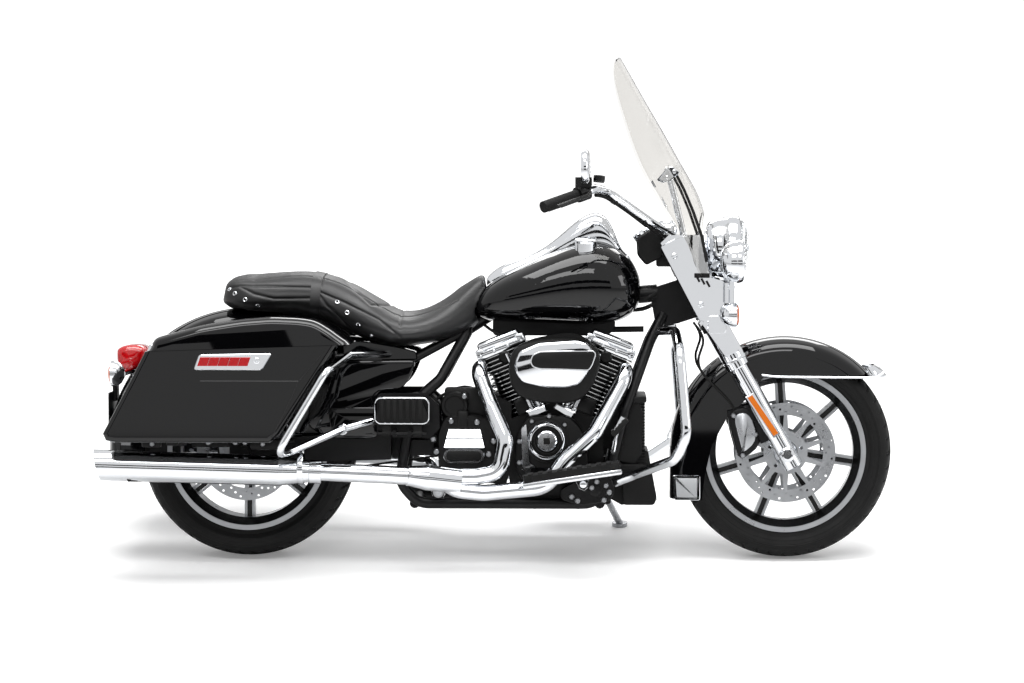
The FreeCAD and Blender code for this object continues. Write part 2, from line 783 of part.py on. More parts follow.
def make_windshield(nacelle, lamp_bar):
    centre_line = nose([(-201, 845), (-213, 900), (-226, 965), (-241, 1035), (-264, 1100), (-300, 1165),
                        (-340, 1235), (-380, 1305), (-421, 1375), (-461, 1445), (-503, 1518)])
    radius, thick = size.screen_radius, size.screen_thick

    def band(x, z):
        wide = math.radians(58)
        outer = [Vector(x - radius + radius * math.cos(a), radius * math.sin(a), z)
                 for a in (-wide, 0, wide)]
        inner = [Vector(x - radius + (radius - thick) * math.cos(a), (radius - thick) * math.sin(a), z)
                 for a in (wide, 0, -wide)]
        edges = [Part.Arc(*outer).toShape(), Part.LineSegment(outer[2], inner[0]).toShape(),
                 Part.Arc(*inner).toShape(), Part.LineSegment(inner[2], outer[0]).toShape()]
        return Part.Wire(edges)

    sheet_shape = lofted([band(x, z) for x, z in centre_line])
    half = size.screen_half
    right = [(0, 1510), (0.3 * half, 1506), (0.55 * half, 1484), (0.72 * half, 1436),
             (0.86 * half, 1350), (0.95 * half, 1260), (half, 1150), (0.98 * half, 1070),
             (0.89 * half, 1000), (0.79 * half, 940), (0.74 * half, 880), (0.66 * half, 850),
             (0.56 * half, 862), (0.53 * half, 920), (0.5 * half, 975), (0.34 * half, 1022),
             (0.14 * half, 1042)]
    ring = right + [(-y, z) for y, z in reversed(right[1:])]
    curve = Part.BSplineCurve()
    curve.interpolate([Vector(size.wheelbase - 700, y, z) for y, z in ring], PeriodicFlag=True)
    outline = Part.Face(Part.Wire([curve.toShape()])).extrude(Vector(700, 0, 0))
    screen = feature("windshield", sheet_shape.common(outline))
    low, high = Vector(*nose([(-306, 150, 972)])[0]), Vector(*nose([(-356, 150, 1178)])[0])
    strap = fused(rod(low, high, 6), rod(high, high + Vector(22, 0, 4), 7),
                  rod(low + Vector(0, 0, 50), low + Vector(30, 0, 52), 7))
    strap = cut(strap, screen, nacelle)
    strap = max(strap.Solids, key=lambda solid: solid.Volume)
    feature("lamp_and_screen_brackets", Part.makeCompound([lamp_bar, strap, mirrored(strap)]))


def fender_section(radius, half, depth, wall):
    """A fender's cross-section, drawn with X as the distance from the axle."""
    def course(r, y):
        left = [Vector(r - depth, y, 0), Vector(r - 50, y, 0), Vector(r - 27, y * 0.9, 0),
                Vector(r - 14, y * 0.7, 0)]
        right = [Vector(corner.x, -corner.y, 0) for corner in left]
        return [Part.LineSegment(left[0], left[1]).toShape(),
                Part.Arc(left[1], left[2], left[3]).toShape(),
                Part.Arc(left[3], Vector(r, 0, 0), right[3]).toShape(),
                Part.Arc(right[3], right[2], right[1]).toShape(),
                Part.LineSegment(right[1], right[0]).toShape()]

    outer = course(radius, half)
    inner = course(radius - wall, half - wall)
    ends = []
    for sign in (1, -1):
        ends.append(Part.LineSegment(Vector(radius - depth, sign * half, 0),
                                     Vector(radius - wall - depth, sign * (half - wall), 0)).toShape())
    return Part.Face(Part.Wire(Part.__sortEdges__(outer + inner + ends)))


def swept_fender(section, axle, start, sweep):
    face = section.copy()
    face.rotate(Vector(), ACROSS, -start)
    face.translate(axle)
    return face.revolve(axle, Vector(0, -1, 0), sweep)


def make_fenders(legs):
    radius = size.front_tyre_radius + size.front_fender_gap + size.fender_wall
    section = fender_section(radius, size.front_fender_half, 190, size.fender_wall)
    crown = swept_fender(section, front_axle, 36, 144)
    tail_face = section.copy()
    tail_face.rotate(Vector(), ACROSS, -180)
    tail_face.translate(front_axle)
    tail = tail_face.extrude(Vector(0, 0, -145))
    keep_outline = nose([(330, 549), (330, 760), (-450, 760), (-450, 179), (-252, 179), (-243, 254),
                         (-222, 345), (-177, 426), (-123, 480), (-102, 510), (-68, 548)])
    shell = fused(crown, tail).common(side_plate(keep_outline, -200, 200))
    tabs = []
    for side in (-1, 1):
        seat = front_axle + leg_up * 250 + ACROSS * side * (size.fork_spread - size.slider_radius + 2)
        tabs.append(rod(seat, seat - ACROSS * side * (size.fork_spread - size.slider_radius
                                                      - size.front_fender_half + 2), 12))
    front = feature("front_fender", cut(fused(shell, *tabs), legs))
    rear_radius = size.rear_tyre_radius + size.rear_fender_gap
    rear_section = fender_section(rear_radius, size.rear_fender_half, 120, size.fender_wall)
    rear = feature("rear_fender", swept_fender(rear_section, rear_axle, 38, 150))
    return front, rear, rear_radius


def make_calipers():
    """Brake calipers that straddle each disc without touching it."""
    disc_y = size.front_disc_y
    gap = size.disc_thick / 2 + 5
    reach = size.disc_radius
    caliper = block((-34, -disc_y - 24, reach - 52), (34, -disc_y + 26, reach + 24))
    slot = block((-60, -disc_y - gap, 0), (60, -disc_y + gap, reach + 6))
    caliper = cut(caliper, slot)
    lug = block((-12, -disc_y - 24, reach + 2), (26, -disc_y - 10, reach + 40))
    caliper = fused(caliper, lug)
    front = caliper.copy()
    front.rotate(Vector(), ACROSS, -72)
    front.translate(front_axle)
    return front


def make_rear_caliper(swingarm):
    """The rear brake caliper, carried by the right arm of the swingarm ahead of the axle."""
    disc_y, reach = size.rear_disc_y, size.disc_radius
    gap = size.disc_thick / 2 + 5
    caliper = block((reach - 52, -disc_y - 24, rear_axle.z - 34), (reach + 24, -disc_y + 24, rear_axle.z + 34))
    slot = block((0, -disc_y - gap, rear_axle.z - 60), (reach + 6, -disc_y + gap, rear_axle.z + 60))
    lug = block((reach - 40, -disc_y - 40, rear_axle.z - 14), (reach + 12, -disc_y - 20, rear_axle.z + 14))
    caliper = cut(fused(cut(caliper, slot), lug), swingarm)
    feature("rear_caliper", max(caliper.Solids, key=lambda solid: solid.Volume))


# Engine and driveline


def bank(forward):
    """The frame of one cylinder: its Z runs from the crank along the bore."""
    crank = Vector(bay(size.crank_x), 0, size.crank_z)
    return Placement(crank, Rotation(ACROSS, size.bank_angle if forward else -size.bank_angle))


def make_cylinders():
    """Both finned cylinders with their heads, and the covers over the rockers."""
    head_low = size.deck_height + size.fin_count * size.fin_pitch
    cover_low = head_low + 40
    cover = [(-80, cover_low), (80, cover_low), (80, cover_low + 22), (58, cover_low + 48),
             (-58, cover_low + 48), (-80, cover_low + 22)]
    core, fin, pitch = size.bore_radius, size.fin_radius, size.fin_pitch
    units, rockers = [], []
    for forward in (True, False):
        place = bank(forward)
        barrel = Part.makeCylinder(core, head_low - size.deck_height + 60, Vector(0, 0, size.deck_height - 60))
        fins = [Part.makeCylinder(fin, size.fin_thick, Vector(0, 0, size.deck_height + pitch * index))
                for index in range(int(size.fin_count))]
        head = block((-78, -126, head_low), (78, 100, head_low + 40))
        for index in range(4):
            low = head_low + 8 + index * 9
            head = cut(head, block((-90, -140, low), (-68, 120, low + 4)), block((68, -140, low), (90, 120, low + 4)))
        unit = fused(barrel, *fins, head).scaled(engine_share())
        rocker = side_plate(cover, -124, 98, 8).scaled(engine_share())
        unit.Placement = place
        rocker.Placement = place
        units.append(unit)
        rockers.append(rocker)
    feature("cylinders", Part.makeCompound(units))
    feature("rocker_boxes", Part.makeCompound(rockers))
    return units, rockers


def belt_loop(extra):
    """The filled side view of the belt's run, drawn wider than the pulleys by a margin."""
    y = size.pulley_y - size.belt_width / 2
    return two_circle_face(Vector(0, y, rear_axle.z), size.pulley_radius + extra,
                           Vector(bay(640), y, 352), size.drive_pulley_radius + extra)


def belt_pocket():
    """The room that the belt needs beside the gearbox, round the drive sprocket."""
    room = belt_loop(size.belt_thick + 7).extrude(ACROSS * (size.belt_width + 8))
    room.translate(ACROSS * -4)
    y = size.pulley_y - size.belt_width / 2
    return room.cut(rod((bay(640), y - 9, 352), (bay(640), y + 60, 352), size.drive_pulley_radius))


def make_engine_case(frame, cylinders):
    bottom = size.rail_height + 7
    outline = chassis([(800, bottom + 16), (850, bottom), (1020, bottom), (1062, 215), (1078, 300),
                       (1070, 500), (794, 500), (786, 300)])
    case = side_plate(outline, -size.case_half, size.case_half)
    for forward in (True, False):
        clear = Part.makeCylinder(150, 400, Vector(0, 0, size.deck_height * engine_share()))
        clear.Placement = bank(forward)
        case = cut(case, clear)
    gearbox = side_plate(chassis([(600, 300), (600, 262), (640, 240), (784, 225), (800, 300), (800, 470),
                                  (740, 500), (640, 505), (600, 470)]), -size.case_half, size.case_half)
    return feature("engine_case", cut(fused(case, gearbox), frame, belt_pocket(), *cylinders))


def make_engine_covers():
    """The bright covers: cams and gearbox on the right, primary drive on the left."""
    face = size.case_half
    cam_outline = chassis([(835, 240), (1000, 240), (1036, 300), (1015, 395), (975, 432), (850, 432),
                           (815, 380), (810, 290)])
    cam = side_plate(cam_outline, -face - 62, -face, 14)
    centre = Vector(bay(908), -face - 62, 355)
    ring = cut(rod(centre, centre - ACROSS * 20, 54), rod(centre - ACROSS * 10, centre - ACROSS * 30, 40))
    ring = fused(ring, rod(centre, centre - ACROSS * 16, 30))
    gearbox = side_plate(chassis([(592, 262), (725, 262), (745, 300), (742, 352), (712, 372), (706, 400),
                                  (612, 400), (604, 372), (576, 352), (574, 300)]), -face - 56, -face, 8)
    low, high = face, face + 108
    outline = two_circle_face(Vector(bay(925), low, 290), 98, Vector(bay(696), low, 338), 90)
    primary = outline.extrude(ACROSS * (high - low))
    rims = [edge for edge in primary.Edges if abs(edge.CenterOfMass.y - high) < 0.01]
    primary = cut(primary.makeFillet(24, rims), belt_pocket())
    return feature("engine_covers", Part.makeCompound([fused(cam, ring), gearbox, primary]))


def make_pushrod_tubes(cylinders, covers):
    tubes = []
    y = -size.case_half - 13
    for low_x, high_x in ((868, 786), (892, 812), (958, 1040), (982, 1064)):
        y_here = y * engine_share() if engine_share() < 1 else y
        tube = rod((bay(low_x), y_here, 432), (bay(high_x), y_here, engine_height(612)), 9)
        pieces = cut(tube, *cylinders, covers).Solids
        tubes.append(min(pieces, key=lambda solid: solid.CenterOfMass.z))
    feature("pushrod_tubes", Part.makeCompound(tubes))


def make_air_cleaner():
    base = chassis([(806, 530), (812, 600), (842, 655), (905, 676), (1012, 676), (1046, 644),
                    (1048, 575), (1000, 490), (980, 484), (834, 506)])
    centre = Vector(bay(925), 0, 585)

    def ring(y, share):
        points = [Vector(centre.x + (x - centre.x) * share, y, centre.z + (z - centre.z) * share)
                  for x, z in base]
        curve = Part.BSplineCurve()
        curve.interpolate(points, PeriodicFlag=True)
        return Part.Wire([curve.toShape()])

    back = -size.case_half - 40
    plate = lofted([ring(back, 1.0), ring(back - 14, 1.0)], True)
    intake = block((bay(925) - 40, back, 560), (bay(925) + 40, -40, 640))
    feature("intake", fused(plate, intake))
    cover = lofted([ring(back - 14, 0.97), ring(back - 60, 0.96), ring(back - 92, 0.86)])
    feature("air_cleaner", cover)


def make_exhaust(frame, heads, engine_case):
    radius = size.header_radius
    y = size.muffler_y
    rear_pipe = bent_tube(chassis([(725, -70, engine_height(580)), (698, -150, engine_height(578)),
                                   (742, -200, engine_height(470)),
                                   (788, -232, 370), (770, -240, 275), (700, -240, 262),
                                   (620, -240, 262)]), radius, 70)
    front_pipe = bent_tube(chassis([(1130, -72, engine_height(594)), (1146, -140, engine_height(560)),
                                    (1051, -192, 388),
                                    (962, -203, 305), (905, -212, 228), (720, -240, 214),
                                    (640, -242, 222), (600, -242, 250)]), radius, 80)
    muffler_z = size.muffler_z
    box_x = bay(590)
    collector = spun([(0, 0), (0, 36), (100, 38), (150, 30), (158, 30), (158, 0)],
                     (box_x + 62, -243, 249), (box_x - 96, -273, 268))
    onward = bent_tube([(box_x - 90, -272, 267), (420, -278, 272), (195, -y, muffler_z - 9)], 27, 120)
    crossover = bent_tube([(box_x + 4, -246, 254), (box_x - 6, -190, 212), (box_x - 6, 190, 212),
                           (box_x - 40, 262, 262), (420, 278, 272), (195, y, muffler_z - 9)], 22, 60)
    headers = fused(rear_pipe, front_pipe, collector, onward, crossover)
    mufflers = []
    wide = size.muffler_radius
    for side in (-1, 1):
        mouth = Vector(245, side * y, muffler_z - 11)
        tail = Vector(-436, side * y, muffler_z + 8)
        long = (tail - mouth).Length
        body = spun([(0, 0), (0, wide - 10), (34, wide - 10), (36, wide - 13), (125, wide), (long, wide + 1),
                     (long, wide - 3), (long - 70, wide - 3), (long - 70, 0)], mouth, tail)
        slash = side_plate([(-470, 400), (-470, 200), (-396, 200), (-442, 400)], side * y - 80, side * y + 80)
        mufflers.append(cut(body, slash))
    mufflers = feature("mufflers", Part.makeCompound(mufflers))
    headers = cut(headers, *heads, mufflers, frame, engine_case)
    headers = max(headers.Solids, key=lambda solid: solid.Volume)
    return feature("exhaust_headers", headers)


def make_belt():
    """The drive belt, one fixed loop just clear of both pulleys."""
    ring = belt_loop(0.5 + size.belt_thick).cut(belt_loop(0.5))
    feature("drive_belt", ring.extrude(ACROSS * size.belt_width))


# Bodywork


def make_tank(frame):
    half = size.tank_half
    stations = [(688, 0.44, 730, 774), (735, 0.68, 716, 832), (830, 0.87, 711, 884),
                (945, 0.99, 708, 936), (1060, 1.0, 706, 957), (1130, 0.87, 718, 930),
                (1170, 0.66, 745, 884), (1186, 0.44, 778, 846)]
    body = lofted([oval(bay(x), share * half, low, high, 2.5) for x, share, low, high in stations])
    tunnel = block((600, -47, 640), (bay(1250), 47, 836))
    feature("fuel_tank", cut(body, tunnel, frame))
    console_stations = [(724, 30, 805, 846), (824, 44, 850, 903), (945, 52, 900, 974),
                        (1030, 62, 915, 1036), (1062, 62, 920, 1040), (1104, 54, 915, 995),
                        (1158, 34, 880, 926)]
    console = lofted([oval(bay(x), wide, low, high, 3) for x, wide, low, high in console_stations])
    console = cut(console, body)
    console = max(console.Solids, key=lambda solid: solid.Volume)
    cap = cut(rod((bay(1022), -104, 905), (bay(1024), -112, 958), 33), body, console)
    cap = max(cap.Solids, key=lambda solid: solid.Volume)
    trim = Part.makeCompound([console, cap, mirrored(cap)])
    trim.translate(Vector(0, 0, 0.15))
    feature("tank_console", trim)
    return body


def make_seat(tank_body, frame, fender_radius):
    half = size.seat_half
    stations = [(-74, 0.40, 772, 800), (-40, 0.72, 748, 846), (60, 0.88, 733, 858), (200, 0.9, 722, 866),
                (300, 0.92, 684, 838), (390, 0.98, 652, 782), (475, 1.0, 640, 741), (560, 0.96, 650, 756),
                (640, 0.74, 668, 808), (690, 0.58, 700, 850), (722, 0.44, 752, 850)]
    seat = lofted([oval(bay(x), share * half, low, high, 2.7) for x, share, low, high in stations])
    guard = rod((0, -300, rear_axle.z), (0, 300, rear_axle.z), fender_radius)
    wheel_bay = guard.common(block((-600, -size.rear_fender_half - 1, 0), (600, size.rear_fender_half + 1, 900)))
    seat = cut(seat, wheel_bay, tank_body, frame)
    return feature("seat", max(seat.Solids, key=lambda solid: solid.Volume))


def make_side_covers(frame):
    outline = [(262, 590), (200, 470), (215, 420), (346, 406), (360, 511), (458, 511), (492, 590), (470, 606),
               (280, 606)]
    cover = side_plate(outline, 142, 168, 12)
    spacer = rod((300, 124, 598), (300, 150, 598), 9)
    spacer = fused(spacer, rod((487, 118, 590), (470, 150, 585), 9))
    cover = cut(fused(cover, spacer), frame)
    return feature("side_covers", both_sides(max(cover.Solids, key=lambda solid: solid.Volume)))


def seam(x):
    """Height of the joint between a saddlebag and its lid, which climbs towards the front."""
    return 650 + (x - 8) * 0.034


def make_saddlebags():
    inner, outer, wall = size.bag_inner, size.bag_outer, size.bag_wall
    outline = [(-383, 401), (-374, 381), (-348, 375), (104, 375), (135, 398), (306, seam(306)),
               (-258, seam(-258)), (-296, 566)]
    for name, mirror in (("left", False), ("right", True)):
        shell = side_plate(outline, inner, outer)
        long_edges = [edge for edge in shell.Edges
                      if abs(edge.CenterOfMass.y - outer) < 0.01 and edge.CenterOfMass.z < 640]
        shell = shell.makeFillet(16, long_edges)
        face = outline_face(outline, inner + wall)
        space_face = face.makeOffset2D(-wall)
        space = space_face.extrude(ACROSS * (outer - inner - 2 * wall))
        mouth = side_plate([(-257 + wall, seam(-257) - 20), (303 - wall, seam(303) - 20),
                            (303 - wall, 720), (-257 + wall, 720)], inner + wall, outer - wall)
        shell = cut(shell, space, mouth)
        if mirror:
            shell = mirrored(shell)
        feature(f"saddlebag_{name}", shell)
        lid_gap = size.lid_gap
        lid_outline = [(-254, 610), (350, 610), (338, seam(340) + 6), (311, 680), (282, 705), (238, 732),
                       (190, 739), (108, 742), (20, 735), (-96, 716), (-238, 678)]
        lid = crowned_plate(lid_outline, inner, outer, 24)
        hollow = crowned_plate(inset(lid_outline, wall), inner + wall, outer - wall, 24)
        floor = [(-300, 500), (400, 500), (400, seam(400) + lid_gap), (-300, seam(-300) + lid_gap)]
        lid = cut(lid, hollow, side_plate(floor, 0, 600))
        if mirror:
            lid = mirrored(lid)
        feature(f"saddlebag_lid_{name}", lid)
    plate = new_body("latch_plate_left")
    padded(plate, "plate", "XZ_Plane", [[(-108, 592), (88, 592), (110, 632), (-93, 632)]], 6,
           midplane=True)
    mirrored_pair("latch_plates", (plate, Placement(ACROSS * (outer + 3), Rotation())))


def make_rear_end(rear_fender):
    edge = -size.rear_tyre_radius - size.rear_fender_gap
    axle_z = rear_axle.z
    lamp = side_plate([(edge - 7, axle_z + 234), (edge + 63, axle_z + 230), (edge + 111, axle_z + 314),
                       (edge + 25, axle_z + 310), (edge - 3, axle_z + 274)], -72, 72, 6)
    lamp = cut(lamp, rear_fender)
    bar = rod((edge + 57, -250, axle_z + 270), (edge + 57, 250, axle_z + 270), 8)
    bar = cut(bar, lamp, rear_fender)
    ends = [solid for solid in bar.Solids if abs(solid.CenterOfMass.y) > 80]
    signals = []
    for end, side in zip(sorted(ends, key=lambda solid: solid.CenterOfMass.y), (-1, 1)):
        bulb = fused(rod((edge + 33, side * 228, axle_z + 240), (edge + 77, side * 228, axle_z + 240), 36), end)
        signals.append(bulb)
    feature("rear_lamps", Part.makeCompound([lamp] + signals))
    back = edge - 12
    plate = block((back, -92, 390), (back + 4, 92, 500))
    holes = [rod((back - 1, side * PLATE_PITCH / 2, 478), (back + 5, side * PLATE_PITCH / 2, 478), 3.5)
             for side in (-1, 1)]
    feet = [rod((back + 2, side * 40, 410), (back + 60, side * 40, 410), 9) for side in (-1, 1)]
    bracket = cut(fused(cut(plate, *holes), *feet), rear_fender)
    feature("plate_bracket", max(bracket.Solids, key=lambda solid: solid.Volume))


def make_shocks(frame, swingarm):
    y = 160
    spring = rod((24, y, 392), (100, y, 560), 26)
    rod_end = rod((12, y, 364), (112, y, 590), 10)
    low_pin = rod((14, size.pulley_y + 28, 366), (14, y + 12, 366), 10)
    high_pin = rod((112, 126, 592), (112, y + 12, 592), 10)
    shock = cut(fused(spring, rod_end, low_pin, high_pin), frame, swingarm)
    shock = max(shock.Solids, key=lambda solid: solid.Volume)
    feature("rear_shocks", both_sides(shock))


# Guards, boards and stand


def make_guards(frame, brackets):
    guard = bent_tube(chassis([(1243, 36, 686), (1290, 150, 690), (1299, 330, 638), (1319, 372, 400),
                               (1290, 345, 325), (1170, 170, 262), (1113, 128, 236)]), size.guard_radius, 70)
    guard = cut(guard, frame, brackets)
    guard = max(guard.Solids, key=lambda solid: solid.Volume)
    feature("engine_guard", both_sides(guard))
    loop = bent_tube([(440, 122, 620), (330, 330, 626), (272, 440, 585), (128, 440, 345),
                      (150, 350, 340), (300, 215, 400), (396, 158, 424)], size.bag_guard_radius, 40)
    loop = cut(loop, frame, brackets)
    loop = max(loop.Solids, key=lambda solid: solid.Volume)
    feature("bag_guards", both_sides(loop))


BOARD_TILT = 8.7


def board_place(side):
    """Hinge line of a rider's footboard: X along the board, from its middle."""
    place = Placement(Vector(bay(986), side * 252, 262), Rotation(ACROSS, -BOARD_TILT))
    if side < 0:
        place = place.multiply(Placement(Vector(), Rotation(Vector(0, 0, 1), 180)))
    return place


def make_boards():
    """Both rider's footboards; the left bracket returned stands ahead of the primary cover."""
    long = size.board_length / 2
    wide = size.board_width
    deck_low = 12
    for side, name in ((-1, "right"), (1, "left")):
        place = board_place(side)
        corners = [(-long + 20, 14), (long - 20, 14), (long, 36), (long - 4, wide - 30), (long - 30, wide),
                   (-long + 30, wide), (-long + 4, wide - 30), (-long, 36)]
        outline = Part.makePolygon([Vector(x, y, deck_low) for x, y in corners + corners[:1]])
        deck = Part.Face(outline).extrude(Vector(0, 0, size.board_thick))
        knuckles = []
        for x, half in ((side * 72, 10), (side * -60, 14)):
            knuckles.append(rod((x - half, 0, 0), (x + half, 0, 0), 10))
            knuckles.append(block((x - half, -2, 0), (x + half, 22, deck_low + 4)))
        pin_hole = rod((-110, 0, 0), (110, 0, 0), 5.05)
        board = cut(fused(deck, *knuckles), pin_hole)
        board.Placement = place
        feature(f"rider_board_{name}", board)
    pin = rod((-78, 0, 0), (94, 0, 0), 5)
    cheeks = [block((x - 5, -112, -12), (x + 5, 7, 8)) for x in (55, 89)]
    carrier = fused(pin, *cheeks)
    carrier.Placement = board_place(1)
    plate = side_plate(chassis([(1028, 195), (1092, 195), (1098, 292), (1028, 286)]), 137, 152)
    return fused(carrier, plate)


def step_place(side):
    place = Placement(Vector(478, side * 214, 388), Rotation())
    if side < 0:
        place = place.multiply(Placement(Vector(), Rotation(Vector(0, 0, 1), 180)))
    return place


def make_steps():
    long = size.step_length / 2
    wide = size.step_width
    for side, name in ((-1, "right"), (1, "left")):
        place = step_place(side)
        outline = [(-long, 26), (long, 26), (long, 40), (long - 26, wide + 16), (long - 60, wide + 25),
                   (-long + 60, wide + 25), (-long + 26, wide + 16), (-long, 40)]
        deck = side_plate(outline, -9, 9)
        knuckles = []
        for x in (-46, 46):
            knuckles.append(fused(rod((x - 12, 0, 0), (x + 12, 0, 0), 9),
                                  block((x - 12, -5, 0), (x + 12, 5, 30))))
        step = cut(fused(deck, *knuckles), rod((-90, 0, 0), (90, 0, 0), 4.05))
        step.Placement = place
        feature(f"passenger_step_{name}", step)
    pin = rod((-72, 0, 0), (72, 0, 0), 4)
    carrier = fused(pin, block((-28, -50, -9), (-18, 5, 9)), block((18, -50, -9), (28, 5, 9)))
    carrier.Placement = step_place(1)
    plate = side_plate([(446, 372), (560, 372), (588, 400), (585, 470), (545, 505), (410, 505),
                        (378, 470), (380, 396), (440, 391)], 146, 170)
    return fused(plate, carrier)


stand_pivot = Vector(bay(1085), 174, 164)


def ground_height(y):
    """Height of the leaned motorcycle's floor at a distance Y from its mid-plane."""
    lean = math.radians(size.lean_angle)
    drop = size.crown_radius * (1 - math.cos(lean))
    return (y * math.sin(lean) - drop) / math.cos(lean)


def stand_lines():
    """The stand's pivot axis, and its foot when it is out and when it is folded back."""
    foot_y = stand_pivot.y + 168
    foot = Vector(stand_pivot.x + 45, foot_y, ground_height(foot_y) + 8)
    out = (foot - stand_pivot).normalize()
    folded = Vector(-1, 0.06, -0.02).normalize()
    axis = out.cross(folded).normalize()
    swing = math.degrees(out.getAngle(folded))
    return axis, foot, swing


def make_stand():
    axis, foot, swing = stand_lines()
    boss = rod(stand_pivot - axis * 13, stand_pivot + axis * 13, 16)
    toward = (foot - stand_pivot).normalize()
    leg = rod(stand_pivot, foot - toward * 4, size.stand_radius)
    lean = math.radians(size.lean_angle)
    up = Vector(0, -math.sin(lean), math.cos(lean))
    pad = rod(foot - up * 8, foot + up * 4, 24)
    hole = rod(stand_pivot - axis * 30, stand_pivot + axis * 30, 6.05)
    feature("side_stand", cut(fused(boss, leg, pad), hole))
    pin = rod(stand_pivot - axis * 24, stand_pivot + axis * 24, 6)
    cheeks = [rod(stand_pivot + axis * side * 14, stand_pivot + axis * side * 22, 15) for side in (-1, 1)]
    inboard = Vector(0, -1, 0) + axis * axis.y
    inboard.normalize()
    arms = []
    for side in (-1, 1):
        start = stand_pivot + axis * side * 18
        arms.append(rod(start, start + inboard * 44, 4))
    back = block((stand_pivot.x - 16, 136, 148), (stand_pivot.x + 16, 148, 216))
    return fused(pin, *cheeks, *arms, back)


def make_foot_brackets(frame):
    """The fixed carriers of the boards, steps and stand, each fitted against the frame's tubes."""
    board, step = make_boards(), make_steps()
    pieces = []
    for piece in (board, step, fused(board, make_stand())):
        solids = cut(piece, frame).Solids
        pieces.append(max(solids, key=lambda solid: solid.Volume))
    board, step, board_and_stand = pieces
    return feature("foot_brackets", Part.makeCompound([mirrored(board), board_and_stand, step, mirrored(step)]))


def make_foot_controls(frame):
    """The brake pedal on the right and the shift lever on the left, each on a shaft in the down tube."""
    pivot = Vector(bay(1106), -130, 338)
    shaft = rod(pivot, pivot - ACROSS * 104, 8)
    arm = bent_tube(chassis([(1106, -228, 338), (1112, -238, 374), (1120, -286, 418)]), 7, 20)
    pad = block((-6, -30, -22), (6, 30, 24))
    pad.Placement = Placement(Vector(bay(1122), -286, 424), Rotation(ACROSS, 28))
    pedal = cut(fused(shaft, arm, pad), frame)
    toe = bent_tube(chassis([(1106, 228, 338), (1128, 232, 372), (1160, 236, 404)]), 7, 20)
    peg = rod((bay(1160), 230, 404), (bay(1160), 292, 404), 11)
    lever = cut(fused(mirrored(shaft), toe, peg), frame)
    pieces = [max(piece.Solids, key=lambda solid: solid.Volume) for piece in (pedal, lever)]
    feature("foot_controls", Part.makeCompound(pieces))


def make_front_trim(frame):
    cooler = side_plate(chassis([(1120, 300), (1170, 290), (1192, 320), (1196, 440), (1186, 474), (1140, 474)]),
                        -108, 108)
    cooler = cut(cooler, frame)
    regulator = side_plate(chassis([(1081, 190), (1132, 162), (1238, 177), (1223, 249), (1126, 240),
                                    (1112, 262)]), -72, 72)
    regulator = cut(regulator, frame)
    feature("oil_cooler", Part.makeCompound([cooler, regulator]))


make_wheels()
frame = make_frame()
swingarm = make_swingarm()
triple_clamps, fork_legs = make_fork()
handlebar = make_handlebar(triple_clamps)
nacelle = make_nacelle(handlebar, triple_clamps, fork_legs)
lamp_bar = make_lamps(nacelle)
make_windshield(nacelle, lamp_bar)
front_fender, rear_fender, rear_fender_radius = make_fenders(fork_legs)
caliper = make_calipers()
feature("front_calipers", both_sides(cut(caliper, fork_legs, front_fender)))
make_rear_caliper(swingarm)
cylinders, rockers = make_cylinders()
engine_case = make_engine_case(frame, cylinders)
engine_covers = make_engine_covers()
make_pushrod_tubes(cylinders, engine_covers)
make_air_cleaner()
make_exhaust(frame, cylinders + rockers, engine_case)
make_belt()
tank_body = make_tank(frame)
make_seat(tank_body, frame, rear_fender_radius)
make_side_covers(frame)
make_saddlebags()
make_rear_end(rear_fender)
make_shocks(frame, swingarm)
foot_brackets = make_foot_brackets(frame)
make_guards(frame, foot_brackets)
make_foot_controls(frame)
make_front_trim(frame)
doc.recompute()

# Stance: lean onto the stand, then set the origin below the middle of the whole.

lean = Placement(Vector(), Rotation(Vector(1, 0, 0), -size.lean_angle))
box = FreeCAD.BoundBox()
for thing, place in nodes:
    shape = thing.Shape.copy()
    shape.Placement = lean.multiply(place)
    box.add(shape.optimalBoundingBox(False))
to_origin = Vector(-(box.XMin + box.XMax) / 2, -(box.YMin + box.YMax) / 2, -box.ZMin)
stance = Placement(to_origin, Rotation()).multiply(lean)
for thing, place in nodes:
    thing.Placement = stance.multiply(place)
doc.recompute()

for item in doc.Objects:
    if "Invalid" in item.State or "Error" in item.State:
        raise SystemExit(f"{item.Label} did not build: {item.State}")
os.makedirs("parts", exist_ok=True)
for thing, place in nodes:
    if thing.Shape.isNull() or not thing.Shape.isValid() or not thing.Shape.Solids:
        raise SystemExit(f"{thing.Label} has no sound shape")
for thing, place in nodes:
    thing.Shape.exportStep(f"parts/{thing.Label}.step")
print(len(nodes), "sub-parts,", "box", [round(v) for v in (box.XLength, box.YLength, box.ZLength)])
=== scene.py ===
import json
import math

import bmesh
import bpy
import numpy as np
from mathutils import Matrix, Vector, geometry
from mathutils.bvhtree import BVHTree


